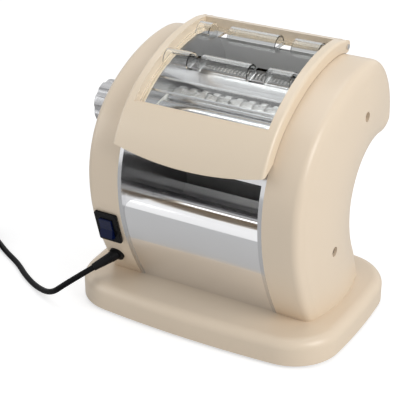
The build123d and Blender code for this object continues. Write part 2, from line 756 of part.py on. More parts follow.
def radial(axis, angle):
    """Sketch plane through a roller axis: local x along the roller, local y outwards."""
    a = radians(angle)
    return Plane(origin=(0, BASE_Y + axis[0], axis[1]), x_dir=(1, 0, 0), z_dir=(0, -sin(a), cos(a)))


def comb(axis, angle, gaps, finger, reach):
    with BuildPart() as strip:
        with BuildSketch(radial(axis, angle)):
            with Locations((0, (CUTTER_R + 0.6 + reach) / 2)):
                Rectangle(2 * PLATE_IN, reach - CUTTER_R - 0.6)
            for x in gaps:
                with Locations((x, CUTTER_R - 0.1)):
                    Rectangle(finger, 3.4)
        extrude(amount=1.1, both=True)
    return strip.part


with BuildPart() as smooth_scrapers:
    for axis, angle in SCRAPERS:
        with BuildSketch(radial(axis, angle)):
            with Locations((0, SMOOTH_R + 8.4)):
                Rectangle(2 * PLATE_IN, 8)
            with Locations((0, SMOOTH_R + 3.4)):
                Rectangle(2 * ROLLER_HALF, 6)
        extrude(amount=0.6, both=True)
save(smooth_scrapers, "smooth_scrapers")

with BuildPart() as cutter_combs:
    add(comb(FETTUCCINE_1, -95, WIDE_2, 6.0, 17))
    add(comb(FETTUCCINE_2, -145, WIDE_1, 6.0, 17))
    add(comb(TAGLIOLINI_1, -105, NARROW_2, 1.5, 15))
    add(comb(TAGLIOLINI_2, -165, NARROW_1, 1.5, 15))
save(cutter_combs, "cutter_combs")

# ================================================================ gear train
TRAIN = (0.8, 1.05)
FRONT_PHASE = 0.0
SHEET_IDLER_PHASE = mesh_phase(FRONT_ROLLER, SHEET_IDLER, FRONT_DRIVE_TEETH, SHEET_IDLER_TEETH, FRONT_PHASE)
MOTOR_PHASE = mesh_phase(SHEET_IDLER, MOTOR_AXIS, SHEET_IDLER_TEETH, MOTOR_TEETH, SHEET_IDLER_PHASE)
CUTTER_IDLER_PHASE = mesh_phase(SHEET_IDLER, CUTTER_IDLER, SHEET_IDLER_TEETH, SMALL_TEETH, SHEET_IDLER_PHASE)
FETTUCCINE_2_PHASE = mesh_phase(CUTTER_IDLER, FETTUCCINE_2, SMALL_TEETH, SMALL_TEETH, CUTTER_IDLER_PHASE)
FETTUCCINE_1_PHASE = mesh_phase(FETTUCCINE_2, FETTUCCINE_1, SMALL_TEETH, SMALL_TEETH, FETTUCCINE_2_PHASE)
BRIDGE_IDLER_PHASE = mesh_phase(FETTUCCINE_2, BRIDGE_IDLER, SMALL_TEETH, BRIDGE_TEETH, FETTUCCINE_2_PHASE)
TAGLIOLINI_2_PHASE = mesh_phase(BRIDGE_IDLER, TAGLIOLINI_2, BRIDGE_TEETH, SMALL_TEETH, BRIDGE_IDLER_PHASE)
TAGLIOLINI_1_PHASE = mesh_phase(TAGLIOLINI_2, TAGLIOLINI_1, SMALL_TEETH, SMALL_TEETH, TAGLIOLINI_2_PHASE)
REAR_PAIR_PHASE = mesh_phase(FRONT_ROLLER, REAR_ROLLER, PAIR_TEETH, PAIR_TEETH, FRONT_PHASE)
GEAR_W = TRAIN_X[1] - TRAIN_X[0]


def train_gear(axis, teeth, phase, bore):
    return gear_face(TRAIN_X[0], axis, teeth, TRAIN_MODULE, phase, bore, *TRAIN)


def pair_gear(axis, phase):
    return gear_face(PAIR_X[0], axis, PAIR_TEETH, PAIR_MODULE, phase, GEAR_SHAFT_R, 1.0, 1.25)


with BuildPart() as front_pair_gear:
    extrude(to_extrude=pair_gear(FRONT_ROLLER, FRONT_PHASE), amount=GEAR_W)
save(front_pair_gear, "front_pair_gear")

with BuildPart() as rear_pair_gear:
    extrude(to_extrude=pair_gear(REAR_ROLLER, REAR_PAIR_PHASE), amount=GEAR_W)
save(rear_pair_gear, "rear_pair_gear")

with BuildPart() as front_drive_gear:
    extrude(to_extrude=train_gear(FRONT_ROLLER, FRONT_DRIVE_TEETH, FRONT_PHASE, GEAR_SHAFT_R), amount=GEAR_W)
save(front_drive_gear, "front_drive_gear")

with BuildPart() as sheet_idler_gear:
    extrude(
        to_extrude=train_gear(SHEET_IDLER, SHEET_IDLER_TEETH, SHEET_IDLER_PHASE, IDLER_PIN_R + FIT), amount=GEAR_W
    )
    with BuildSketch(side(TRAIN_X[0])):
        with Locations(SHEET_IDLER):
            with PolarLocations(19, 6):
                Circle(5.5)
    extrude(amount=GEAR_W, mode=Mode.SUBTRACT)
save(sheet_idler_gear, "sheet_idler_gear")

with BuildPart() as cutter_idler_gear:
    extrude(to_extrude=train_gear(CUTTER_IDLER, SMALL_TEETH, CUTTER_IDLER_PHASE, IDLER_PIN_R + FIT), amount=GEAR_W)
save(cutter_idler_gear, "cutter_idler_gear")

with BuildPart() as bridge_idler_gear:
    extrude(to_extrude=train_gear(BRIDGE_IDLER, BRIDGE_TEETH, BRIDGE_IDLER_PHASE, IDLER_PIN_R + FIT), amount=GEAR_W)
save(bridge_idler_gear, "bridge_idler_gear")

with BuildPart() as motor_gear:
    extrude(to_extrude=train_gear(MOTOR_AXIS, MOTOR_TEETH, MOTOR_PHASE, GEAR_SHAFT_R), amount=GEAR_W)
save(motor_gear, "motor_gear")

with BuildPart() as fettuccine_gear_front:
    extrude(to_extrude=train_gear(FETTUCCINE_1, SMALL_TEETH, FETTUCCINE_1_PHASE, CUTTER_SHAFT_R), amount=GEAR_W)
save(fettuccine_gear_front, "fettuccine_gear_front")

with BuildPart() as fettuccine_gear_rear:
    extrude(to_extrude=train_gear(FETTUCCINE_2, SMALL_TEETH, FETTUCCINE_2_PHASE, CUTTER_SHAFT_R), amount=GEAR_W)
save(fettuccine_gear_rear, "fettuccine_gear_rear")

with BuildPart() as tagliolini_gear_front:
    extrude(to_extrude=train_gear(TAGLIOLINI_1, SMALL_TEETH, TAGLIOLINI_1_PHASE, CUTTER_SHAFT_R), amount=GEAR_W)
save(tagliolini_gear_front, "tagliolini_gear_front")

with BuildPart() as tagliolini_gear_rear:
    extrude(to_extrude=train_gear(TAGLIOLINI_2, SMALL_TEETH, TAGLIOLINI_2_PHASE, CUTTER_SHAFT_R), amount=GEAR_W)
save(tagliolini_gear_rear, "tagliolini_gear_rear")

with BuildPart() as idler_pins:
    extrude(to_extrude=discs(PLATE_IN, IDLERS, IDLER_PIN_R), amount=SHAFT_END_X - PLATE_IN)
    extrude(to_extrude=discs(PLATE_OUT, IDLERS, 6), amount=TRAIN_X[0] - 0.1 - PLATE_OUT)
save(idler_pins, "idler_pins")

with BuildPart() as retaining_clips:
    extrude(to_extrude=discs(CLIP_X[0], IDLERS, 7), amount=CLIP_X[1] - CLIP_X[0])
    extrude(to_extrude=discs(CLIP_X[0], IDLERS, IDLER_PIN_R), amount=CLIP_X[1] - CLIP_X[0], mode=Mode.SUBTRACT)
save(retaining_clips, "retaining_clips")

# ================================================================ sliding carriage and adjuster
BAR_SPOTS = [lean(REAR_ROLLER, (BAR_U, side_p)) for side_p in (BAR_P, -BAR_P)]


def block_face(x, width):
    with BuildSketch(side(x)) as sk:
        with Locations(REAR_ROLLER):
            Rectangle(BLOCK_L, width, rotation=CARRIAGE_ANGLE)
    return sk.sketch


with BuildPart() as bearing_block_right:
    extrude(to_extrude=block_face(BLOCK_IN, BLOCK_L), amount=PLATE_OUT + FIT - BLOCK_IN)
    lip = BLOCK_L + 2 * BLOCK_LIP
    extrude(to_extrude=block_face(PLATE_OUT + FIT, lip), amount=BLOCK_RIGHT_OUT - PLATE_OUT - FIT)
    extrude(to_extrude=discs(70, [REAR_ROLLER], BLOCK_JOURNAL_R + FIT), amount=20, mode=Mode.SUBTRACT)
    extrude(to_extrude=discs(BLOCK_IN, BAR_SPOTS, BAR_R), amount=PLATE_OUT - BLOCK_IN, mode=Mode.SUBTRACT)
save(bearing_block_right, "bearing_block_right")

with BuildPart() as bearing_block_left:
    extrude(to_extrude=block_face(-PLATE_OUT - FIT, BLOCK_L), amount=PLATE_OUT + FIT - BLOCK_IN)
    extrude(to_extrude=block_face(-BLOCK_LEFT_OUT, lip), amount=BLOCK_LEFT_OUT - PLATE_OUT - FIT)
    extrude(to_extrude=discs(-BLOCK_LEFT_BORE, [REAR_ROLLER], BLOCK_JOURNAL_R + FIT), amount=20, mode=Mode.SUBTRACT)
    extrude(to_extrude=discs(-PLATE_OUT, BAR_SPOTS, BAR_R), amount=PLATE_OUT - BLOCK_IN, mode=Mode.SUBTRACT)
    with BuildSketch(side(-BLOCK_LEFT_OUT)):
        with Locations(REAR_ROLLER):
            Rectangle(2 * (DRIVE_PIN_R + 0.45), 8.4, rotation=CARRIAGE_ANGLE)
    extrude(amount=3.5, mode=Mode.SUBTRACT)
save(bearing_block_left, "bearing_block_left")

with BuildPart() as carriage_bars:
    extrude(to_extrude=discs(-PLATE_OUT, BAR_SPOTS, BAR_R), amount=2 * PLATE_OUT)
save(carriage_bars, "carriage_bars")

with BuildPart() as adjuster_spindle:
    extrude(to_extrude=discs(-KNOB_X[1] + 2, [SPINDLE], SPINDLE_R), amount=KNOB_X[1] - 2 - 91)
    extrude(to_extrude=discs(-91, [SPINDLE], FLANGE_R), amount=4)
    extrude(to_extrude=discs(-87, [REAR_ROLLER], DRIVE_PIN_R), amount=4)
save(adjuster_spindle, "adjuster_spindle")

with BuildPart() as adjuster_knob:
    extrude(to_extrude=discs(-KNOB_X[1], [SPINDLE], KNOB_R), amount=KNOB_X[1] - KNOB_X[0])
    fillet(adjuster_knob.faces().sort_by(Axis.X)[0].edges(), 2.5)
    with BuildSketch(side(-KNOB_X[1])):
        with Locations(SPINDLE):
            with PolarLocations(KNOB_R + 4.2, KNOB_LOBES):
                Circle(7)
    extrude(amount=KNOB_X[1] - KNOB_X[0], mode=Mode.SUBTRACT)
    extrude(to_extrude=discs(-KNOB_X[1], [SPINDLE], KNOB_R - 9), amount=1.6, mode=Mode.SUBTRACT)
    extrude(to_extrude=discs(-KNOB_X[1], [SPINDLE], 8), amount=1.6)
    extrude(to_extrude=discs(-KNOB_X[1] + 2, [SPINDLE], SPINDLE_R), amount=20, mode=Mode.SUBTRACT)
save(adjuster_knob, "adjuster_knob")

# ================================================================ motor
with BuildPart() as gearbox_case:
    with BuildSketch(side(MOTOR_X[1])):
        with Locations(MOTOR_CENTRE):
            Circle(GEARBOX_R)
        with Locations(MOTOR_AXIS):
            Circle(8)
        make_hull()
    extrude(amount=PLATE_IN - MOTOR_X[1])
    fillet(gearbox_case.faces().sort_by(Axis.X)[0].edges(), 3)
    extrude(to_extrude=discs(60, [MOTOR_AXIS], GEAR_SHAFT_R + FIT), amount=20, mode=Mode.SUBTRACT)
    extrude(to_extrude=discs(59, GEARBOX_SCREWS, 2), amount=20, mode=Mode.SUBTRACT)
save(gearbox_case, "gearbox_case")

with BuildPart() as gearbox_screws:
    extrude(to_extrude=discs(PLATE_OUT, GEARBOX_SCREWS, 3.5), amount=2.4)
    extrude(to_extrude=discs(60, GEARBOX_SCREWS, 2), amount=PLATE_OUT - 60)
save(gearbox_screws, "gearbox_screws")

with BuildPart() as output_shaft:
    extrude(to_extrude=discs(60.2, [MOTOR_AXIS], GEAR_SHAFT_R), amount=SHAFT_END_X - 60.2)
save(output_shaft, "output_shaft")

with BuildPart() as motor_can:
    extrude(to_extrude=discs(MOTOR_X[0], [MOTOR_CENTRE], MOTOR_R), amount=MOTOR_X[1] - MOTOR_X[0])
    for x in (-30, -20, 15, 25):
        extrude(to_extrude=discs(x, [MOTOR_CENTRE], MOTOR_R + 2), amount=2, mode=Mode.SUBTRACT)
        extrude(to_extrude=discs(x, [MOTOR_CENTRE], MOTOR_R - 0.8), amount=2)
    extrude(to_extrude=discs(MOTOR_X[0], [MOTOR_CENTRE], MOTOR_R - 2), amount=-7)
    fillet(motor_can.faces().sort_by(Axis.X)[0].edges(), 2)
    extrude(to_extrude=discs(MOTOR_X[0] - 7, [MOTOR_CENTRE], 7), amount=-3)
save(motor_can, "motor_can")

with BuildPart() as motor_cradle:
    with BuildSketch(side(-16)):
        with Locations((MOTOR_CENTRE[0], DECK_Z + 7)):
            Rectangle(44, 14)
        with Locations(MOTOR_CENTRE):
            Circle(MOTOR_R, mode=Mode.SUBTRACT)
    extrude(amount=24)
save(motor_cradle, "motor_cradle")

with BuildPart() as terminal_block:
    with Locations((-PLATE_OUT - 6, BASE_Y - 36, 62)):
        Box(12, 30, 14)
    with Locations(*[Plane(origin=(-PLATE_OUT - 12, BASE_Y + y, 62), z_dir=(-1, 0, 0)) for y in (-46, -36, -26)]):
        Hole(2.2, depth=6)
save(terminal_block, "terminal_block")

# ================================================================ switch
with BuildPart() as switch_body:
    with BuildSketch(SWITCH_FACE.offset(-1)):
        RectangleRounded(*SWITCH_PLATE, 2.5)
    extrude(amount=3)
    chamfer(switch_body.faces().sort_by(Axis(SWITCH_FACE.origin, SWITCH_FACE.z_dir))[-1].edges(), 0.8)
    with BuildSketch(SWITCH_FACE.offset(-22)):
        Rectangle(*SWITCH_BODY)
    extrude(amount=21)
    with BuildSketch(switch_side(-ROCKER_W / 2 - 0.2)):
        Circle(ROCKER_R + 0.3)
        with Locations((0, -POCKET_FLOOR - 15)):
            Rectangle(30, 30, mode=Mode.SUBTRACT)
    extrude(amount=ROCKER_W + 0.4, mode=Mode.SUBTRACT)
    with BuildSketch(switch_side(-ROCKER_W / 2 - 1.4)):
        Circle(1.5 + FIT)
    extrude(amount=ROCKER_W + 2.8, mode=Mode.SUBTRACT)
save(switch_body, "switch_body")

with BuildPart() as switch_rocker:
    with BuildSketch(switch_side(-ROCKER_W / 2)):
        Circle(ROCKER_R)
        with BuildLine():
            rise = 12 * tan(radians(ROCKER_SWING))
            Polyline(
                (-12, -ROCKER_FLOOR), (12, -ROCKER_FLOOR), (12, 4), (0, 4), (-12, 4 + rise), close=True
            )
        make_face(mode=Mode.INTERSECT)
    extrude(amount=ROCKER_W)
    with BuildSketch(switch_side(-ROCKER_W / 2 - 1.2)):
        Circle(1.5)
    extrude(amount=ROCKER_W + 2.4)
save(switch_rocker, "switch_rocker")

# ================================================================ lid


def below_front_line():
    """Everything under the straight lower edge of the rails, as seen from the side."""
    with BuildSketch(side(-90)) as sk:
        with BuildLine():
            Polyline((-114, 177), (-66, 201), (-40, 201), (-40, 100), (-114, 100), close=True)
        make_face()
    return sk.sketch


with BuildPart() as front_relief:
    extrude(to_extrude=outline_face(-RAIL_OUT - 1, LID_RISE - LID_SKIN, 120), amount=2 * RAIL_OUT + 2)
    extrude(to_extrude=below_front_line(), amount=180, mode=Mode.INTERSECT)

with BuildPart() as lid_shell:
    extrude(to_extrude=outline_face(-RAIL_OUT, LID_RISE, 150), amount=2 * RAIL_OUT)
    with Locations((0, BASE_Y + HINGE[0] + 100, 200)):
        Box(400, 200, 400, mode=Mode.SUBTRACT)
    outer = lid_shell.edges().filter_by(
        lambda e: abs(abs(e.center().X) - RAIL_OUT) < 0.01
        and e.center().Z > 151
        and e.center().Y < BASE_Y + HINGE[0] - 0.1
    )
    fillet(outer, RAIL_EDGE_R)
    extrude(to_extrude=outline_face(-RAIL_OUT - 1, LID_GAP, 120), amount=2 * RAIL_OUT + 2, mode=Mode.SUBTRACT)
    extrude(to_extrude=outline_face(-RAIL_IN, LID_RISE - LID_SKIN, 120), amount=2 * RAIL_IN, mode=Mode.SUBTRACT)
    for x in (-RAIL_OUT + RAIL_WALL, RAIL_IN + RAIL_WALL):
        channel = RAIL_OUT - RAIL_IN - 2 * RAIL_WALL
        extrude(to_extrude=outline_face(x, LID_RISE - LID_SKIN, 120), amount=channel, mode=Mode.SUBTRACT)
    add(front_relief.part, mode=Mode.SUBTRACT)
    with BuildSketch(front(-150)):
        with BuildLine():
            ThreePointArc((-RAIL_OUT - 1, 189.3), (0, 180), (RAIL_OUT + 1, 189.3))
            Polyline((RAIL_OUT + 1, 189.3), (RAIL_OUT + 1, 100), (-RAIL_OUT - 1, 100), (-RAIL_OUT - 1, 189.3))
        make_face()
    extrude(amount=-400, mode=Mode.SUBTRACT)
    with Locations((0, BASE_Y + (LID_FRONT_Y + CROSSBAR_Y) / 2, 250)):
        Box(2 * RAIL_IN, CROSSBAR_Y - LID_FRONT_Y, 100, mode=Mode.SUBTRACT)


def lid_strip(half, low, high, y0, y1):
    """The part of the lid within half of the middle, between two offsets and two depths."""
    with BuildPart() as strip:
        extrude(to_extrude=outline_face(-half, high, 180), amount=2 * half)
        extrude(to_extrude=outline_face(-half, low, 180), amount=2 * half, mode=Mode.SUBTRACT)
        with Locations((0, BASE_Y + (y0 + y1) / 2, 240)):
            Box(2 * half, y1 - y0, 160, mode=Mode.INTERSECT)
    return strip.part


LEDGE_LOW = -0.6
LEDGE_HIGH = GLASS_TOP - GLASS_T
LEDGE_W = 3.5
WALL_T = 2.0
with BuildPart() as glass_seat:
    add(lid_strip(RAIL_IN, LEDGE_LOW, LEDGE_HIGH, LID_FRONT_Y, CROSSBAR_Y + WALL_T))
    with Locations((0, BASE_Y + (LID_FRONT_Y + WALL_T + CROSSBAR_Y) / 2, 240)):
        Box(2 * (RAIL_IN - LEDGE_W), CROSSBAR_Y - LID_FRONT_Y - WALL_T - 8, 200, mode=Mode.SUBTRACT)

with BuildPart() as hinge_rounds:
    for x in (-RAIL_OUT, -RAIL_IN - RAIL_WALL, RAIL_IN, RAIL_OUT - RAIL_WALL):
        extrude(to_extrude=discs(x, [HINGE], HINGE_ROUND_R), amount=RAIL_WALL)

with BuildPart() as lid_frame:
    add(lid_shell.part)
    add(glass_seat.part)
    add(lid_strip(RAIL_IN, LEDGE_LOW, LID_RISE - 1, LID_FRONT_Y, LID_FRONT_Y + WALL_T))
    add(lid_strip(RAIL_IN, LEDGE_LOW, LID_RISE - 1, CROSSBAR_Y, CROSSBAR_Y + WALL_T))
    add(lid_strip(RAIL_IN, LID_RISE - LID_SKIN, LID_RISE, CROSSBAR_Y, CROSSBAR_BACK))
    add(lid_strip(RAIL_IN, -2, LID_RISE - 1, CROSSBAR_BACK - WALL_T, CROSSBAR_BACK))
    add(hinge_rounds.part)
    extrude(to_extrude=discs(-90, [HINGE], HINGE_PIN_R + 0.06), amount=180, mode=Mode.SUBTRACT)
save(lid_frame, "lid_frame")

with BuildPart() as lid_pins:
    for end in (-1, 1):
        extrude(to_extrude=discs(end * (RAIL_IN - 0.4), [HINGE], HINGE_PIN_R), amount=end * (RAIL_OUT - RAIL_IN + 0.5))
        extrude(to_extrude=discs(end * (RAIL_OUT + 0.1), [HINGE], 2.6), amount=end * 1.2)
save(lid_pins, "lid_pins")


with BuildPart() as below_glass:
    extrude(to_extrude=outline_face(-RAIL_IN, GLASS_TOP - GLASS_T, 180), amount=2 * RAIL_IN)

with BuildPart() as lid_window:
    add(
        lid_strip(
            RAIL_IN - 0.3, GLASS_TOP - GLASS_T, GLASS_TOP, LID_FRONT_Y + WALL_T + 0.3, CROSSBAR_Y - 0.3
        )
    )
    for spots, y in ((FRONT_HOODS, FRONT_HOOD_Y), (REAR_HOODS, REAR_HOOD_Y)):
        for x0, x1 in spots:
            extrude(to_extrude=discs(x0, [(y, roof(y, GLASS_TOP - 2))], HOOD_R), amount=x1 - x0)
        for x0, x1 in spots:
            axis = (y, roof(y, GLASS_TOP - 2))
            extrude(to_extrude=discs(x0, [axis], HOOD_R - HOOD_T), amount=x1 - x0, mode=Mode.SUBTRACT)
        for x0, x1 in FEED_SLOTS:
            with Locations(((x0 + x1) / 2, BASE_Y + y, 250)):
                Box(x1 - x0, 2 * (HOOD_R - HOOD_T), 60, mode=Mode.SUBTRACT)
    add(below_glass.part, mode=Mode.SUBTRACT)
save(lid_window, "lid_window")

# ================================================================ lid switch
PLUNGER_X = PLATE_IN - 1.7
PLUNGER_Y = 5.0
PLUNGER_TOP = roof(PLUNGER_Y - 1.2, LID_GAP) - 0.05
with BuildPart() as lid_switch:
    with Locations(((64 + PLATE_IN) / 2, BASE_Y + PLUNGER_Y, 230)):
        Box(PLATE_IN - 64, 20, 16)
    with BuildSketch(level(224)):
        with Locations((PLUNGER_X, PLUNGER_Y)):
            Circle(1.2 + FIT)
    extrude(amount=20, mode=Mode.SUBTRACT)
save(lid_switch, "lid_switch")

with BuildPart() as lid_switch_plunger:
    with BuildSketch(level(226)):
        with Locations((PLUNGER_X, PLUNGER_Y)):
            Circle(1.2)
    extrude(amount=PLUNGER_TOP - 226)
save(lid_switch_plunger, "lid_switch_plunger")

# ================================================================ cord outlet and cord
RELIEF_START = Vector(*GLAND_AT) + OUTLET * 8
RELIEF_END = RELIEF_START + OUTLET * 20
with BuildPart() as cable_gland:
    with BuildSketch(GLAND_FACE.offset(-0.6)):
        Circle(8)
    extrude(amount=2.6)
    with BuildSketch(GLAND_FACE.offset(-12)):
        Circle(GLAND_TUBE_R)
    extrude(amount=11.4)
    with BuildSketch(Plane(origin=Vector(*GLAND_AT), z_dir=OUTLET)):
        Circle(5.5)
    extrude(amount=8)
    with BuildSketch(Plane(origin=RELIEF_START, z_dir=OUTLET)):
        Circle(5.2)
    with BuildSketch(Plane(origin=RELIEF_END, z_dir=OUTLET)):
        Circle(CORD_D / 2 + 0.8)
    loft()
save(cable_gland, "cable_gland")

COIL_AT = (-312.0, BASE_Y - 61.0)
COIL_TURNS = 3
COIL_LAYERS = 2
COIL_OUT = COIL_R + CORD_D * (COIL_TURNS - 1) / 2 - 0.2
TAIL_L = 24.0
TAIL_IN = 58.0
TAIL_OUT = 180.0


def coil_point(angle, z, along=0.0):
    """Point on the outer turn, and so far along its tangent (anticlockwise)."""
    a = radians(angle)
    x = COIL_AT[0] + COIL_OUT * cos(a) - along * sin(a)
    y = COIL_AT[1] + COIL_OUT * sin(a) + along * cos(a)
    return (x, y, z)


FLOOR_Z = CORD_D / 2 + 0.1
TOP_Z = CORD_D * (COIL_LAYERS - 0.5) - 0.1
CORD_END = coil_point(TAIL_IN, FLOOR_Z, -TAIL_L)
LAST_RUN = 22.0
CORD_POINTS = [
    tuple(RELIEF_END),
    tuple(RELIEF_END + OUTLET * 33),
    (-151.0, BASE_Y - 108.0, 10.5),
    (-178.0, BASE_Y - 96.0, FLOOR_Z),
    (-203.0, BASE_Y - 83.0, FLOOR_Z),
    (-226.0, BASE_Y - 66.0, FLOOR_Z),
    coil_point(TAIL_IN, FLOOR_Z, -TAIL_L - LAST_RUN),
    CORD_END,
]


def bend_radii(points):
    """One radius per corner: 0.45 of the shorter run over the tangent of half the turn."""
    radii = []
    for p, q, r in zip(points, points[1:], points[2:]):
        a, b = Vector(*q) - Vector(*p), Vector(*r) - Vector(*q)
        turn = acos(a.dot(b) / (a.length * b.length))
        radii.append(0.45 * min(a.length, b.length) / tan(turn / 2))
    return radii


CORD_RADII = bend_radii(CORD_POINTS)
with BuildLine() as cord_path:
    FilletPolyline(*CORD_POINTS, radius=CORD_RADII)

with BuildPart() as power_cord:
    with BuildSketch(Plane(origin=CORD_POINTS[0], z_dir=OUTLET)):
        Circle(CORD_D / 2)
    sweep(path=cord_path.line)
save(power_cord, "power_cord")

with BuildPart() as cord_coil:
    with BuildSketch(Plane(origin=(COIL_AT[0], COIL_AT[1], 0), x_dir=(1, 0, 0), z_dir=(0, -1, 0))):
        with Locations((COIL_R, CORD_D * COIL_LAYERS / 2)):
            RectangleRounded(CORD_D * COIL_TURNS, CORD_D * COIL_LAYERS, 1.5)
    revolve(axis=Axis((COIL_AT[0], COIL_AT[1], 0), (0, 0, 1)))
    with BuildSketch(Plane(origin=CORD_END, z_dir=Vector(*coil_point(TAIL_IN, FLOOR_Z)) - Vector(*CORD_END))):
        Circle(CORD_D / 2)
    extrude(amount=TAIL_L)
    with BuildSketch(Plane(origin=coil_point(TAIL_OUT, TOP_Z), z_dir=(0, -1, 0))):
        Circle(CORD_D / 2)
    extrude(amount=TAIL_L)
save(cord_coil, "cord_coil")

PLUG_START = coil_point(TAIL_OUT, TOP_Z, TAIL_L)
PLUG_NECK = 22.0
PLUG_L = 34.0
with BuildPart() as plug_body:
    with BuildSketch(Plane(origin=PLUG_START, z_dir=(0, -1, 0))):
        Circle(CORD_D / 2 + 0.8)
    with BuildSketch(Plane(origin=Vector(*PLUG_START) + Vector(0, -PLUG_NECK, 0), z_dir=(0, -1, 0))):
        Circle(6)
    loft()
    with BuildSketch(Plane(origin=Vector(*PLUG_START) + Vector(0, -PLUG_NECK, 0), x_dir=(1, 0, 0), z_dir=(0, -1, 0))):
        RectangleRounded(24, 17.6, 5)
    with BuildSketch(
        Plane(origin=Vector(*PLUG_START) + Vector(0, -PLUG_NECK - PLUG_L, 0), x_dir=(1, 0, 0), z_dir=(0, -1, 0))
    ):
        RectangleRounded(35, 17.6, 6)
    loft()
save(plug_body, "plug_body")

with BuildPart() as plug_pins:
    with BuildSketch(
        Plane(origin=Vector(*PLUG_START) + Vector(0, -PLUG_NECK - PLUG_L, 0), x_dir=(1, 0, 0), z_dir=(0, -1, 0))
    ):
        with Locations((-9.3, 0), (9.3, 0)):
            Circle(2)
    extrude(amount=19)
    fillet(plug_pins.faces().sort_by(Axis.Y)[0:2].edges(), 1.2)
save(plug_pins, "plug_pins")
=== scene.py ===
"""Electric pasta maker: crowned housings, rollers, window, cord, finishes and a plain studio.

Lengths are in millimetres and become metres when a mesh is made, unless a name or comment says
otherwise. Side profiles are (y, z) pairs whose y counts from BASE_Y.
"""

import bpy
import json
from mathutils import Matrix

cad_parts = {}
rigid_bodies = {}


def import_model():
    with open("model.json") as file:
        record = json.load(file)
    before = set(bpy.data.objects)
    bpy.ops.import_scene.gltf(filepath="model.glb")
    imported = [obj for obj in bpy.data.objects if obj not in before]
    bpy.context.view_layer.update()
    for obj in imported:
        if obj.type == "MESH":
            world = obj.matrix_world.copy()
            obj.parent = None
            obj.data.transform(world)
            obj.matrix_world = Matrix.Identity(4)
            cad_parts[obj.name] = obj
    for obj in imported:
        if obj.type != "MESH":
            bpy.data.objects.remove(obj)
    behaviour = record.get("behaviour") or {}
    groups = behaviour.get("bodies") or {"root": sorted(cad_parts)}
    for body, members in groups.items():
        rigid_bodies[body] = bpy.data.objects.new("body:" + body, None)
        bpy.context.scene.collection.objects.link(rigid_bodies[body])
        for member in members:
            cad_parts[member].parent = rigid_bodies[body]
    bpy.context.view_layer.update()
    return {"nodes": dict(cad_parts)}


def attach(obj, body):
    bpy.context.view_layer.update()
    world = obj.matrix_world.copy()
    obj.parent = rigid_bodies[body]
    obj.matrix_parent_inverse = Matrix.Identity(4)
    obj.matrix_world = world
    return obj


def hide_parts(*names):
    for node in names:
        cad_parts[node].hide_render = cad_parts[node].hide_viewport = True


bl_info = {
    "name": "Electric Pasta Maker",
    "version": (1, 0, 0),
    "blender": (4, 5, 0),
    "location": "3D View > Sidebar > Pasta Maker",
    "description": "Dresses the pasta maker's solids with finished pieces and materials",
    "category": "Object",
}

import json
from math import ceil, cos, pi, radians, sin, sqrt, tau

import bmesh
import bpy
import numpy as np
from mathutils import Matrix, Vector
from mathutils.geometry import delaunay_2d_cdt

for leftover in list(bpy.data.objects):
    bpy.data.objects.remove(leftover)

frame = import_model()
NODES = frame["nodes"]
MM = 0.001

# Edges up to DEGENERATE metres long go, arcs that lift less than STRAIGHT from their heading are
# drawn straight, and NO_LENGTH keeps a step of no length from dividing by zero.
DEGENERATE = 1e-7
STRAIGHT = 1e-6
NO_LENGTH = 1e-12

# Zero of the side profiles, top of the base and outer face of the side plates.
BASE_Y = -10.35
DECK_Z = 29.0
PLATE_OUT = 77.0

# Side outline of the plates and housings: y, z and heading in degrees. Two arcs join each pair of
# these points, each with its own count of points. An end within NEAR_DECK of the deck stands on it.
OUTLINE = (
    (-52.7, 29.0, 121.1),
    (-90.2, 142.5, 90.0),
    (54.9, 255.8, 0.0),
    (120.9, 182.5, -90.0),
    (98.4, 166.7, 173.1),
    (32.8, 111.0, -90.0),
    (61.2, 29.0, -71.6),
)
ARC_COUNTS = (14, 16, 22, 18, 14, 10, 10, 8, 12, 10, 8, 12)
NEAR_DECK = 0.3

# Housing shells: x of the rings on the straight band, degrees of the rings round its edge, insets
# of the rings on the crown and points on each ring.
BAND_RINGS = (84.0, 91.0, 98.0)
EDGE_DEGREES = (10, 20, 30, 40, 50, 60, 68)
CROWN_INSETS = (6.5, 8.5, 10.5, 12.0)
RING_COUNT = 190

# Cap inside the last ring: spacing of its edge along the deck, range and spacing of its grid, gap
# between grid and edge, merge distance, and the rounds and share by which its height is smoothed.
CAP_EDGE_STEP = 5
CAP_Y = (-90, 122)
CAP_Z = (33, 258)
CAP_STEP = 4.0
CAP_GAP = 2.2
CAP_MERGE = 1e-5
SMOOTH_ROUNDS = 40
SMOOTH_SHARE = 0.6

# Housing screws: places, x of the heads' seats, bosses, and the stepped holes in them.
HOUSING_SCREWS = ((-24.4, 95.4), (38.5, 208.9))
SCREW_SEAT = 108.0
BOSS_SPAN = (86.0, 117.5)
BOSS_RADIUS = 7
HOLE_SPAN = (80.0, 130.0)
SHANK_HOLE = 2.6
HEAD_HOLE = 5.0

# A housing screw along Z with its seat at 0: z and radius, then the dome and the cross slot.
SCREW_PROFILE = ((-33.0, 0), (-33.0, 1.6), (-32.0, 2.35), (0, 2.35), (0, 4.2), (1.6, 4.2))
SCREW_TOP = 3.45
DOME_BASE = 1.6
DOME_RISE = 1.9
DOME_RADIUS = 4.2
DOME_ANGLES = (0.2, 1.35, 6)
SLOT_SIDES = (5.0, 0.95)
SLOT_SPAN = (1.9, 6.0)
SCREW_TWIST = 0.5

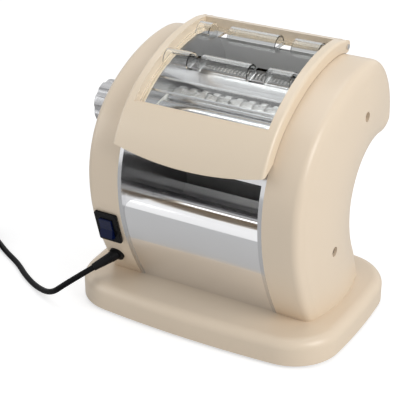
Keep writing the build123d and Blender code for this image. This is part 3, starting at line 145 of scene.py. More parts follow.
# Openings of the left housing: bore of the adjuster, pockets of the switch (width, height, floor),
# and seat and throat of the cord's gland (radius, floor). The cutting tools end at the tops.
SPINDLE = (-14.98, 190.82)
SPINDLE_SPAN = (-90.0, -130.0)
SPINDLE_BORE = 6.4
SWITCH_AT = (-94.0, -83.45, 91.5)
SWITCH_LEAN = 16.0
SWITCH_POCKETS = ((26.2, 36.2, -1.0), (20.2, 30.2, -9.0))
SWITCH_TOP = 8.0
GLAND_AT = (-97.0, -65.5, 52.0)
GLAND_LEAN = 26.8
GLAND_SEATS = ((8.2, -0.6), (6.9, -8.0))
GLAND_TOP = 6.0

# Cutting rollers: node, body, axis, width, pitch and count of the discs, x of the first disc and
# ridges round it. Their core and shaft are one turned profile of (x, radius).
CUTTERS = (
    ("fettuccine_cutter_front", "fettuccine_front", (12.0, 200.0), 6.4, 13.0, 11, -65.0, 60.0),
    ("fettuccine_cutter_rear", "fettuccine_rear", (28.96, 189.4), 6.4, 13.0, 10, -58.5, 60.0),
    ("tagliolini_cutter_front", "tagliolini_front", (66.0, 208.0), 1.9, 4.0, 35, -68.0, 44.0),
    ("tagliolini_cutter_rear", "tagliolini_rear", (77.5, 191.64), 1.9, 4.0, 34, -66.0, 44.0),
)
DISC_RADIUS = 11
DISC_HOLE = 8.5
DISC_BEVEL = 0.35
DISC_BEVEL_SHARE = 0.12
SHAFT_PROFILE = (
    (-79.0, 0),
    (-79.0, 3.7),
    (-78.7, 4),
    (-72.3, 4),
    (-72.3, 8.7),
    (72.3, 8.7),
    (72.3, 4),
    (101.7, 4),
    (102.0, 3.7),
    (102.0, 0),
)

# Route of the cord from its outlet to the coil.
CORD_ROUTE = (
    (-112.39, -96.83, 41.65),
    (-130.52, -121.56, 29.45),
    (-151.0, -118.35, 10.5),
    (-178.0, -106.35, 3.1),
    (-203.0, -93.35, 3.1),
    (-226.0, -76.35, 3.1),
    (-252.43, -62.82, 3.1),
    (-271.09, -51.16, 3.1),
)
PLUG_START = (-350.8, -95.35, 8.9)
CORD_BLACK = (0.003, 0.003, 0.004)

# Coil: centre, radii inwards, height of its two layers, then in degrees its start and sweep, the
# sector in which each turn passes to the next, and the reach of the bulge inwards at the climb.
COIL_AT = (-312.0, -71.35)
COIL_RADII = (38.8, 33.0, 27.0)
COIL_LAYERS = (3.1, 9.1)
COIL_START = 58.0
COIL_SWEEP = 5 * 360 + 122
COIL_JOG = 90.0
BULGE = 2.8
BULGE_REACH = 95

# Camera, whose clip is in metres, and the lamps, also in metres: name, place, size, share of the
# key's power and colour.
CAMERA_AT = (503.6, -946.85, 647.6)
CAMERA_TARGET = (0, -76.98, 137.44)
CAMERA_LENS = 107.96
CAMERA_SENSOR = 36.0
CAMERA_CLIP = (0.05, 50)
LAMPS = (
    ("Key", (2.0, -0.35, 1.35), 1.2, 3.0, (1.0, 0.985, 0.96)),
    ("Top", (-0.2, 0.4, 2.1), 1.6, 1.3, (1.0, 1.0, 1.0)),
    ("Fill", (-1.8, -1.3, 1.1), 1.2, 0.95, (0.97, 0.985, 1.0)),
)
LAMP_TARGET = (0, 0, 0.12)

# Floor: radius and sides, share of its glow for camera and mirror rays, strength of that glow and
# what camera rays add to it. Surround: share of its white that mirror rays lose, and that they
# lose besides when they come through the window.
FLOOR_RADIUS = 6000.0
FLOOR_SIDES = 64
GLOW_TO_CAMERA = 0.35
GLOW_TO_MIRRORS = 0.55
GLOW = 0.3
GLOW_ADDED = 1.45
MIRROR_LOSS = 0.1
WINDOW_LOSS = 0.6

# Materials: range of the noise that is spread over the wanted values, roughness of the clear coat,
# scale of the gloss noise against the grain's, and depth of grain and of ridges in metres.
NOISE_RANGE = (0.3, 0.7)
COAT_ROUGHNESS = 0.12
GLOSS_SCALE = 0.15
GRAIN_DEPTH = 0.0002
RIDGE_DEPTH = 0.0003

# The cream of housings and base, and of the lid.
CREAM = {"shift": 0.015, "grain": 1400, "bump": 0.008, "clouds": 7, "coat": 0.12, "smudge": 0.06}
LID_CREAM = {**CREAM, "grain": 1600, "clouds": 8, "coat": 0.15}

# Sockets of a Mix node for colours.
MIX_FACTOR, MIX_A, MIX_B, MIX_RESULT = 0, 6, 7, 2


# ------------------------------------------------------------------ meshes
def make_object(name, vertices, faces):
    """A smooth mesh object from points in millimetres."""
    mesh = bpy.data.meshes.new(name)
    mesh.from_pydata([Vector(v) * MM for v in vertices], [], faces)
    mesh.polygons.foreach_set("use_smooth", [True] * len(mesh.polygons))
    mesh.update()
    obj = bpy.data.objects.new(name, mesh)
    bpy.context.scene.collection.objects.link(obj)
    return obj


def tidy_mesh(obj, angle=35.0, merge=0.01):
    """Merges doubles, turns the faces outwards and keeps edges over the angle sharp."""
    bm = bmesh.new()
    bm.from_mesh(obj.data)
    bmesh.ops.remove_doubles(bm, verts=bm.verts, dist=merge * MM)
    bmesh.ops.dissolve_degenerate(bm, edges=bm.edges, dist=DEGENERATE)
    bmesh.ops.recalc_face_normals(bm, faces=bm.faces)
    limit = radians(angle)
    for edge in bm.edges:
        edge.smooth = len(edge.link_faces) == 2 and edge.calc_face_angle(0) < limit
    for face in bm.faces:
        face.smooth = True
    bm.to_mesh(obj.data)
    bm.free()
    return obj


def bake(obj):
    """Keeps what the modifiers give as the object's own mesh."""
    graph = bpy.context.evaluated_depsgraph_get()
    mesh = bpy.data.meshes.new_from_object(obj.evaluated_get(graph))
    obj.modifiers.clear()
    obj.data = mesh
    mesh.name = obj.name
    return obj


def combine(obj, tool, operation):
    """Boolean of obj with tool, which is used up."""
    modifier = obj.modifiers.new(operation, "BOOLEAN")
    modifier.operation = operation
    modifier.object = tool
    modifier.solver = "EXACT"
    bake(obj)
    bpy.data.objects.remove(tool)


def join(name, parts):
    """One object from several, each keeping its own material."""
    bm = bmesh.new()
    materials = []
    for part in parts:
        start = len(bm.faces)
        bm.from_mesh(part.data)
        bm.faces.ensure_lookup_table()
        own = list(part.data.materials) or [None]
        for face in bm.faces[start:]:
            material = own[min(face.material_index, len(own) - 1)]
            if material not in materials:
                materials.append(material)
            face.material_index = materials.index(material)
        bpy.data.objects.remove(part)
    mesh = bpy.data.meshes.new(name)
    bm.to_mesh(mesh)
    bm.free()
    for material in materials:
        if material:
            mesh.materials.append(material)
    obj = bpy.data.objects.new(name, mesh)
    bpy.context.scene.collection.objects.link(obj)
    return obj


def turned(name, profile, segments, place, closed=False):
    """A profile of (x, radius) turned full circle; place gives the point at x, radius and angle."""
    count = len(profile)
    vertices = [place(x, r, tau * k / segments) for k in range(segments) for x, r in profile]
    faces = []
    for k in range(segments):
        a, b = k * count, (k + 1) % segments * count
        for i in range(count if closed else count - 1):
            j = (i + 1) % count
            faces.append((a + i, b + i, b + j, a + j))
    return make_object(name, vertices, faces)


def lathe(name, axis, profile, segments=48, closed=False):
    """A turned piece about an axis along X."""
    y, z = BASE_Y + axis[0], axis[1]

    def place(x, r, a):
        return x, y + r * cos(a), z + r * sin(a)

    return tidy_mesh(turned(name, profile, segments, place, closed))


def stepped(start, *steps):
    """Profile of a stepped rod from x = start: each step is a radius and the x where it ends."""
    profile = [(start, 0)]
    for radius, end in steps:
        profile += [(profile[-1][0], radius), (end, radius)]
    return [*profile, (profile[-1][0], 0)]


def prism(name, points, plane, low, high):
    """A block on a plane: points are (u, v) on its first two axes, low and high on its third."""
    count = len(points)
    vertices = [plane @ Vector((u, v, w)) for w in (low, high) for u, v in points]
    faces = [tuple(range(count - 1, -1, -1)), tuple(range(count, 2 * count))]
    faces += [(i, (i + 1) % count, count + (i + 1) % count, count + i) for i in range(count)]
    return tidy_mesh(make_object(name, vertices, faces))


def circle(radius, segments):
    """Points round a circle about the origin."""
    angles = [tau * k / segments for k in range(segments)]
    return [(radius * cos(a), radius * sin(a)) for a in angles]


def rectangle(wide, high):
    """Corners of a rectangle about the origin."""
    u, v = wide / 2, high / 2
    return [(-u, -v), (u, -v), (u, v), (-u, v)]


def face_plane(at, lean):
    """Plane on the front band: first axis +X, third axis outwards, leaning down by the angle."""
    a = radians(lean)
    out = Vector((0, -cos(a), -sin(a)))
    across = Vector((1, 0, 0))
    up = out.cross(across)
    origin = Vector((at[0], BASE_Y + at[1], at[2]))
    return Matrix.Translation(origin) @ Matrix((across, up, out)).transposed().to_4x4()


def settle(obj, body, material=None, nodes=()):
    """Gives a finished piece its material, slot and body, and hides the CAD nodes it stands for."""
    if material:
        obj.data.materials.clear()
        obj.data.materials.append(material)
    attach(obj, body)
    if nodes:
        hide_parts(*nodes)


# ------------------------------------------------------------------ side outline
def outline_arcs(grow):
    """Arc joints of the outline as (point, heading) pairs, moved outwards by grow."""
    stops = []
    for (y0, z0, h0), (y1, z1, h1) in zip(OUTLINE, OUTLINE[1:]):
        p, q = Vector((y0, z0)), Vector((y1, z1))
        tp = Vector((cos(radians(h0)), sin(radians(h0))))
        tq = Vector((cos(radians(h1)), sin(radians(h1))))
        v, t = q - p, tp + tq
        a, b, c = 2 * (1 - tp.dot(tq)), v.dot(t), v.dot(v)
        d = (-b + sqrt(b * b + a * c)) / a
        m = (p + q + (tp - tq) * d) * 0.5
        chord = (m - p).normalized()
        tm = chord * (2 * tp.dot(chord)) - tp
        stops += [(p, tp), (m, tm)]
    stops.append((q, tq))
    return [(point + Vector((-t.y, t.x)) * grow, t) for point, t in stops]


def arc_points(p, t, q, count):
    """Points after p along the arc that leaves p along t and ends at q."""
    chord = q - p
    normal = Vector((-t.y, t.x))
    lift = normal.dot(chord)
    if abs(lift) < STRAIGHT:
        return [p + chord * (k / count) for k in range(1, count + 1)]
    radius = chord.dot(chord) / (2 * lift)
    centre = p + normal * radius
    arm = p - centre
    turn = 2 * np.arctan2(lift, t.dot(chord))
    points = []
    for k in range(1, count + 1):
        a = turn * k / count
        spoke = Vector((arm.x * cos(a) - arm.y * sin(a), arm.x * sin(a) + arm.y * cos(a)))
        points.append(centre + spoke)
    return points


def outline_ring(grow):
    """The outline moved outwards by grow, from the front of the deck over the top to its rear."""
    stops = outline_arcs(grow)
    (first, t0), (last, t1) = stops[0], stops[-1]
    points = [first + t0 * ((DECK_Z - first.y) / t0.y)]
    if first.y > DECK_Z + NEAR_DECK:
        points.append(first)
    for (p, t), (q, _), count in zip(stops, stops[1:], ARC_COUNTS):
        points += arc_points(p, t, q, count)
    end = last + t1 * ((DECK_Z - last.y) / t1.y)
    if last.y > DECK_Z + NEAR_DECK:
        points.append(end)
    else:
        points[-1] = end
    return [Vector((p.x, max(p.y, DECK_Z))) for p in points]


def as_array(points):
    """Points with x and y as rows of an array."""
    return np.array([(p.x, p.y) for p in points])


def resample(points, count):
    """The same run with count points, evenly spread along its length."""
    array = as_array(points)
    lengths = np.concatenate([[0], np.cumsum(np.hypot(*np.diff(array, axis=0).T))])
    wanted = np.linspace(0, lengths[-1], count)
    u, v = (np.interp(wanted, lengths, array[:, axis]) for axis in (0, 1))
    return [Vector(pair) for pair in zip(u, v)]


def distance_to(points, run):
    """Distance of each of the points from a polyline."""
    best = np.full(len(points), np.inf)
    for start, step in zip(run[:-1], run[1:] - run[:-1]):
        along = np.clip((points - start) @ step / (step @ step + NO_LENGTH), 0, 1)
        best = np.minimum(best, np.hypot(*(points - start - along[:, None] * step).T))
    return best


# ------------------------------------------------------------------ materials
def node(tree, kind, **values):
    """A new node; values named in_... set its inputs, the others its properties."""
    made = tree.nodes.new(kind)
    for key, value in values.items():
        if key.startswith("in_"):
            made.inputs[key[3:].replace("_", " ")].default_value = value
        else:
            setattr(made, key, value)
    return made


def link_chain(tree, *pairs):
    """Links each pair of output and input."""
    for source, target in pairs:
        tree.links.new(source, target)


def plain_tree(name):
    """A material with its node tree and a Principled shader on its output."""
    material = bpy.data.materials.get(name)
    if material:
        bpy.data.materials.remove(material)
    material = bpy.data.materials.new(name)
    material.use_nodes = True
    tree = material.node_tree
    tree.nodes.clear()
    output = node(tree, "ShaderNodeOutputMaterial")
    shader = node(tree, "ShaderNodeBsdfPrincipled")
    tree.links.new(shader.outputs["BSDF"], output.inputs["Surface"])
    return material, tree, shader


def object_coordinates(tree, scale=(1, 1, 1), location=(0, 0, 0)):
    """Object coordinates, scaled and moved."""
    place = node(tree, "ShaderNodeTexCoord")
    mapping = node(tree, "ShaderNodeMapping", in_Scale=scale, in_Location=location)
    tree.links.new(place.outputs["Object"], mapping.inputs["Vector"])
    return mapping.outputs["Vector"]


def noise(tree, vector, scale, detail):
    """A noise factor."""
    made = node(tree, "ShaderNodeTexNoise", in_Scale=scale, in_Detail=detail)
    tree.links.new(vector, made.inputs["Vector"])
    return made.outputs["Fac"]


def noise_between(tree, vector, scale, low, high, detail=4.0):
    """A noise factor spread from low to high."""
    spread = node(tree, "ShaderNodeMapRange", in_To_Min=low, in_To_Max=high)
    spread.inputs["From Min"].default_value, spread.inputs["From Max"].default_value = NOISE_RANGE
    tree.links.new(noise(tree, vector, scale, detail), spread.inputs["Value"])
    return spread.outputs["Result"]


def arithmetic(tree, operation, *values):
    """Result of a Math node fed with sockets or numbers."""
    made = node(tree, "ShaderNodeMath", operation=operation)
    for socket, value in zip(made.inputs, values):
        if isinstance(value, bpy.types.NodeSocket):
            tree.links.new(value, socket)
        else:
            socket.default_value = value
    return made.outputs[0]


def tint(tree, shader, vector, scale, dark, light):
    """Clouds between two colours as the shader's base colour."""
    mix = node(tree, "ShaderNodeMix", data_type="RGBA")
    mix.inputs[MIX_A].default_value = (*dark, 1)
    mix.inputs[MIX_B].default_value = (*light, 1)
    link_chain(
        tree,
        (noise_between(tree, vector, scale, 0, 1), mix.inputs[MIX_FACTOR]),
        (mix.outputs[MIX_RESULT], shader.inputs["Base Color"]),
    )


def emboss(tree, shader, height, strength, depth=GRAIN_DEPTH):
    """Relief on the shader's surface from a height."""
    relief = node(tree, "ShaderNodeBump", in_Strength=strength, in_Distance=depth)
    link_chain(
        tree,
        (height, relief.inputs["Height"]),
        (relief.outputs["Normal"], shader.inputs["Normal"]),
    )


def mix_surfaces(tree, share, first, second):
    """Puts a mix of two shaders on the tree's output."""
    mix = node(tree, "ShaderNodeMixShader")
    output = next(n for n in tree.nodes if n.type in ("OUTPUT_MATERIAL", "OUTPUT_WORLD"))
    link_chain(
        tree,
        (share, mix.inputs[0]),
        (first, mix.inputs[1]),
        (second, mix.inputs[2]),
        (mix.outputs[0], output.inputs["Surface"]),
    )


def finish(
    name,
    colour,
    roughness,
    metallic=0.0,
    shift=0.04,
    grain=900.0,
    bump=0.05,
    stretch=(1, 1, 1),
    clouds=9.0,
    coat=0.0,
    specular=0.5,
    smudge=0.25,
    anisotropic=0.0,
):
    """A moulded, painted or metal surface: cloudy tint, uneven gloss and a fine grain."""
    material, tree, shader = plain_tree(name)
    shader.inputs["Metallic"].default_value = metallic
    shader.inputs["Specular IOR Level"].default_value = specular
    shader.inputs["Coat Weight"].default_value = coat
    shader.inputs["Coat Roughness"].default_value = COAT_ROUGHNESS
    shader.inputs["Anisotropic"].default_value = anisotropic
    fine = object_coordinates(tree, stretch)
    wide = object_coordinates(tree)
    dark = [c * (1 - shift) for c in colour]
    light = [min(1.0, c * (1 + shift)) for c in colour]
    tint(tree, shader, wide, clouds, dark, light)
    low, high = roughness * (1 - smudge), roughness * (1 + smudge)
    gloss = noise_between(tree, fine, grain * GLOSS_SCALE, low, high, detail=5.0)
    tree.links.new(gloss, shader.inputs["Roughness"])
    emboss(tree, shader, noise(tree, fine, grain, detail=3.0), bump)
    return material


def knurled(name, colour, axis, ridges, roughness=0.22):
    """Plated steel with fine ridges round an axis along X."""
    material, tree, shader = plain_tree(name)
    shader.inputs["Metallic"].default_value = 1.0
    shader.inputs["Roughness"].default_value = roughness
    centre = (0.0, -(BASE_Y + axis[0]) * MM, -axis[1] * MM)
    place = object_coordinates(tree, location=centre)
    split = node(tree, "ShaderNodeSeparateXYZ")
    tree.links.new(place, split.inputs[0])
    angle = arithmetic(tree, "ARCTAN2", split.outputs["Z"], split.outputs["Y"])
    wave = arithmetic(tree, "SINE", arithmetic(tree, "MULTIPLY", angle, ridges))
    emboss(tree, shader, wave, strength=0.5, depth=RIDGE_DEPTH)
    tint(tree, shader, place, scale=60.0, dark=[c * 0.8 for c in colour], light=colour)
    return material


def clear_plastic(name, colour, roughness=0.004):
    """Clear moulded window: transmission with a faint waviness, and a pale shadow."""
    material, tree, shader = plain_tree(name)
    shader.inputs["Base Color"].default_value = (*colour, 1)
    shader.inputs["Transmission Weight"].default_value = 1.0
    shader.inputs["IOR"].default_value = 1.5
    place = object_coordinates(tree)
    low, high = roughness * 0.5, roughness * 1.5
    gloss = noise_between(tree, place, 40.0, low, high)
    tree.links.new(gloss, shader.inputs["Roughness"])
    emboss(tree, shader, noise(tree, place, scale=35.0, detail=1.0), strength=0.02)
    path = node(tree, "ShaderNodeLightPath")
    shadow = node(tree, "ShaderNodeBsdfTransparent", in_Color=(0.92, 0.92, 0.92, 1))
    mix_surfaces(tree, path.outputs["Is Shadow Ray"], shader.outputs["BSDF"], shadow.outputs[0])
    return material


# ------------------------------------------------------------------ geometry node trees
def geometry_tree(name, **sockets):
    """A geometry tree with the given inputs, and its two end nodes."""
    tree = bpy.data.node_groups.new(name, "GeometryNodeTree")
    for label, kind in {"Geometry": "Geometry", **sockets}.items():
        tree.interface.new_socket(label, in_out="INPUT", socket_type="NodeSocket" + kind)
    tree.interface.new_socket("Geometry", in_out="OUTPUT", socket_type="NodeSocketGeometry")
    return tree, tree.nodes.new("NodeGroupInput"), tree.nodes.new("NodeGroupOutput")


def put_pieces(tree, given, out, points):
    """Puts the given piece on the points with its finish; returns the node that places it."""
    piece = node(tree, "GeometryNodeObjectInfo")
    place = node(tree, "GeometryNodeInstanceOnPoints")
    real = node(tree, "GeometryNodeRealizeInstances")
    paint = node(tree, "GeometryNodeSetMaterial")
    link_chain(
        tree,
        (given.outputs["Piece"], piece.inputs["Object"]),
        (points, place.inputs["Points"]),
        (piece.outputs["Geometry"], place.inputs["Instance"]),
        (place.outputs["Instances"], real.inputs["Geometry"]),
        (real.outputs["Geometry"], paint.inputs["Geometry"]),
        (given.outputs["Finish"], paint.inputs["Material"]),
        (paint.outputs["Geometry"], out.inputs["Geometry"]),
    )
    return place


def row_tree():
    """Copies of a piece in a straight row."""
    tree, given, out = geometry_tree(
        "Row of pieces",
        Piece="Object",
        Count="Int",
        Start="Vector",
        Step="Vector",
        Finish="Material",
    )
    line = node(tree, "GeometryNodeMeshLine", mode="OFFSET")
    link_chain(
        tree,
        (given.outputs["Count"], line.inputs["Count"]),
        (given.outputs["Start"], line.inputs["Start Location"]),
        (given.outputs["Step"], line.inputs["Offset"]),
    )
    put_pieces(tree, given, out, line.outputs["Mesh"])
    return tree


def seats_tree():
    """Copies of a piece on each vertex, turned so that its Z runs along the stored direction."""
    tree, given, out = geometry_tree(
        "Pieces on seats", Piece="Object", Twist="Float", Finish="Material"
    )
    facing = node(tree, "GeometryNodeInputNamedAttribute", data_type="FLOAT_VECTOR")
    facing.inputs["Name"].default_value = "facing"
    turn = node(tree, "FunctionNodeAlignRotationToVector", axis="Z")
    twist = node(tree, "FunctionNodeAxisAngleToRotation", in_Axis=(0, 0, 1))
    both = node(tree, "FunctionNodeRotateRotation", rotation_space="LOCAL")
    place = put_pieces(tree, given, out, given.outputs["Geometry"])
    link_chain(
        tree,
        (facing.outputs["Attribute"], turn.inputs["Vector"]),
        (given.outputs["Twist"], twist.inputs["Angle"]),
        (turn.outputs["Rotation"], both.inputs["Rotation"]),
        (twist.outputs["Rotation"], both.inputs["Rotate By"]),
        (both.outputs["Rotation"], place.inputs["Rotation"]),
    )
    return tree


def run_tree(obj, tree, **inputs):
    """Runs a tree on obj once and keeps the result as its mesh."""
    modifier = obj.modifiers.new(tree.name, "NODES")
    modifier.node_group = tree
    for socket in tree.interface.items_tree:
        if socket.in_out == "INPUT" and socket.name in inputs:
            modifier[socket.identifier] = inputs[socket.name]
    bake(obj)


# ------------------------------------------------------------------ settings
class PastaFinishes(bpy.types.PropertyGroup):
    """Colours of the machine."""

    cream: bpy.props.FloatVectorProperty(
        name="Cream", description="Housings and base", subtype="COLOR", size=3, min=0, max=1,
        default=(0.79, 0.66, 0.51),
    )
    lid_cream: bpy.props.FloatVectorProperty(
        name="Lid cream", description="Lid rails and visor", subtype="COLOR", size=3, min=0, max=1,
        default=(0.82, 0.69, 0.53),
    )
    steel: bpy.props.FloatVectorProperty(
        name="Steel", description="Plates and rods", subtype="COLOR", size=3, min=0, max=1,
        default=(0.72, 0.72, 0.73),
    )
    black: bpy.props.FloatVectorProperty(
        name="Black", description="Switch, gland and plug", subtype="COLOR", size=3, min=0, max=1,
        default=(0.006, 0.006, 0.007),
    )


class PastaHousing(bpy.types.PropertyGroup):
    """Shape of the two end housings."""

    band: bpy.props.FloatProperty(
        name="Straight band", description="X where the rounding starts", default=105.5 * MM,
        unit="LENGTH",
    )
    round_edge: bpy.props.FloatProperty(
        name="Edge radius", description="Rounding between band and face", default=8.0 * MM,
        unit="LENGTH",
    )
    crown: bpy.props.FloatProperty(
        name="Crown", description="X of the face at its highest", default=122.0 * MM, unit="LENGTH",
    )
    wall: bpy.props.FloatProperty(
        name="Wall", description="Wall thickness", default=3.0 * MM, unit="LENGTH",
    )


class PastaCord(bpy.types.PropertyGroup):
    """Mains cord."""

    diameter: bpy.props.FloatProperty(
        name="Diameter", description="Cord diameter", default=6.0 * MM, unit="LENGTH",
    )
    turn_points: bpy.props.IntProperty(
        name="Points a turn", description="Points in each coil turn", default=16,
    )


class PastaStage(bpy.types.PropertyGroup):
    """Studio light."""

    key: bpy.props.FloatProperty(
        name="Key", description="Power that each lamp takes its share of", default=9.0,
        unit="POWER",
    )
    world: bpy.props.FloatProperty(
        name="Surround", description="Strength of the surround", default=0.4,
    )


class PastaSettings(bpy.types.PropertyGroup):
    """All settings of the pasta maker."""

    finishes: bpy.props.PointerProperty(type=PastaFinishes, name="Finishes", description="Colours")
    housing: bpy.props.PointerProperty(type=PastaHousing, name="Housings", description="Shape")
    cord: bpy.props.PointerProperty(type=PastaCord, name="Cord", description="Mains cord")
    stage: bpy.props.PointerProperty(type=PastaStage, name="Stage", description="Studio light")


# ------------------------------------------------------------------ operators
class PASTA_OT_stage(bpy.types.Operator):
    """Camera, floor, surround and lamps"""

    bl_idname = "pasta.stage"
    bl_label = "Stage"

    def execute(self, context):
        values = context.scene.pasta_maker.stage
        data = bpy.data.cameras.new("Camera")
        data.lens, data.sensor_width = CAMERA_LENS, CAMERA_SENSOR
        data.clip_start, data.clip_end = CAMERA_CLIP
        eye, target = Vector(CAMERA_AT) * MM, Vector(CAMERA_TARGET) * MM
        context.scene.camera = self.aim(context, "Camera", data, eye, target)
        self.lay_floor()
        self.light_world(context, values.world)
        for name, at, size, share, colour in LAMPS:
            lamp = bpy.data.lights.new(name, "AREA")
            lamp.shape, lamp.size, lamp.color = "SQUARE", size, colour
            lamp.energy = values.key * share
            self.aim(context, name, lamp, Vector(at), Vector(LAMP_TARGET))
        context.scene.view_settings.view_transform = "Standard"
        return {"FINISHED"}

    def aim(self, context, name, data, eye, target):
        """A camera or lamp that looks from eye to target, both in metres."""
        obj = bpy.data.objects.new(name, data)
        obj.location = eye
        obj.rotation_mode = "QUATERNION"
        obj.rotation_quaternion = (target - eye).to_track_quat("-Z", "Y")
        context.scene.collection.objects.link(obj)
        return obj

    def lay_floor(self):
        """Pale round floor that takes the shadow and glows a little for camera and mirror rays."""
        vertices = [(0, 0, 0)] + [(x, y, 0) for x, y in circle(FLOOR_RADIUS, FLOOR_SIDES)]
        faces = [(0, 1 + k, 1 + (k + 1) % FLOOR_SIDES) for k in range(FLOOR_SIDES)]
        floor = make_object("floor", vertices, faces)
        material, tree, shader = plain_tree("pale floor")
        shader.inputs["Roughness"].default_value = 0.65
        place = object_coordinates(tree)
        tint(tree, shader, place, scale=3.0, dark=(0.87, 0.87, 0.87), light=(0.9, 0.9, 0.9))
        rays = node(tree, "ShaderNodeLightPath").outputs
        camera, mirrors = rays["Is Camera Ray"], rays["Is Glossy Ray"]
        glow = node(tree, "ShaderNodeEmission", in_Color=(1, 1, 1, 1))
        strength = arithmetic(tree, "MULTIPLY_ADD", camera, GLOW_ADDED, GLOW)
        tree.links.new(strength, glow.inputs["Strength"])
        share = arithmetic(tree, "MULTIPLY", camera, GLOW_TO_CAMERA)
        share = arithmetic(tree, "MULTIPLY_ADD", mirrors, GLOW_TO_MIRRORS, share)
        mix_surfaces(tree, share, shader.outputs["BSDF"], glow.outputs["Emission"])
        floor.data.materials.append(material)

    def light_world(self, context, strength):
        """Soft light on matt surfaces, and white for what the camera, glass and mirrors show."""
        world = bpy.data.worlds.new("Studio")
        world.use_nodes = True
        tree = world.node_tree
        tree.nodes.clear()
        node(tree, "ShaderNodeOutputWorld")
        pale, pure = (0.95, 0.97, 1.0, 1), (1, 1, 1, 1)
        soft = node(tree, "ShaderNodeBackground", in_Strength=strength, in_Color=pale)
        white = node(tree, "ShaderNodeBackground", in_Strength=1.0, in_Color=pure)
        depths = node(tree, "ShaderNodeLightPath").outputs
        unlit = arithmetic(tree, "LESS_THAN", depths["Diffuse Depth"], 0.5)
        mirrored = arithmetic(tree, "GREATER_THAN", depths["Glossy Depth"], 0.5)
        through = arithmetic(tree, "GREATER_THAN", depths["Transmission Depth"], 0.5)
        loss = arithmetic(tree, "MULTIPLY_ADD", through, -WINDOW_LOSS, -MIRROR_LOSS)
        share = arithmetic(tree, "MULTIPLY_ADD", mirrored, loss, 1.0)
        share = arithmetic(tree, "MULTIPLY", share, unlit)
        mix_surfaces(tree, share, soft.outputs[0], white.outputs[0])
        context.scene.world = world


class PASTA_OT_cord(bpy.types.Operator):
    """Mains cord from the gland to its tied coil"""

    bl_idname = "pasta.cord"
    bl_label = "Cord"

    def execute(self, context):
        values = context.scene.pasta_maker.cord
        points = [Vector(p) for p in CORD_ROUTE]
        points += self.coil_points(values.turn_points)
        points.append(Vector(PLUG_START))
        curve = bpy.data.curves.new("mains_cord", "CURVE")
        curve.dimensions = "3D"
        spline = curve.splines.new("NURBS")
        spline.points.add(len(points) - 1)
        for control, p in zip(spline.points, points):
            control.co = (p.x * MM, p.y * MM, p.z * MM, 1)
        spline.order_u = 3
        spline.use_endpoint_u = True
        spline.resolution_u = 6
        curve.bevel_depth = values.diameter / 2
        curve.bevel_resolution = 6
        curve.use_fill_caps = True
        cord = bpy.data.objects.new("mains_cord", curve)
        context.scene.collection.objects.link(cord)
        jacket = {"shift": 0.2, "grain": 2500, "bump": 0.1, "clouds": 30, "specular": 0.1}
        curve.materials.append(finish("cord_jacket", CORD_BLACK, 0.4, **jacket))
        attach(cord, "frame")
        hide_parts("power_cord", "cord_coil")
        return {"FINISHED"}

    def coil_points(self, turn_points):
        """Three turns inwards, a step up and three turns outwards; turns change in one sector."""
        low, high = COIL_LAYERS
        levels = [(r, low) for r in COIL_RADII] + [(r, high) for r in reversed(COIL_RADII)]
        top = len(levels) - 1
        climb = COIL_START + len(COIL_RADII) * 360 - COIL_JOG / 2
        # The drawn curve cuts the corners of its control points, so these stand a little outside.
        outside = 1 / ((1 + cos(pi / turn_points)) / 2)
        steps = ceil(COIL_SWEEP / 360 * turn_points)
        points = []
        for k in range(steps + 1):
            angle = COIL_START + COIL_SWEEP * k / steps
            turn = (angle - COIL_START) / 360
            index = min(int(turn), top)
            share = min(1.0, max(0.0, ((turn - index) * 360 - (360 - COIL_JOG)) / COIL_JOG))
            (r0, z0), (r1, z1) = levels[index], levels[min(index + 1, top)]
            ease = share * share * (3 - 2 * share)
            r = r0 + (r1 - r0) * ease
            z = z0 + (z1 - z0) * ease
            past = angle - climb
            if abs(past) < BULGE_REACH:
                r -= BULGE * cos(pi * past / (2 * BULGE_REACH)) ** 2
            a = radians(angle)
            x, y = COIL_AT[0] + r * outside * cos(a), COIL_AT[1] + r * outside * sin(a)
            points.append(Vector((x, y, z)))
        return points


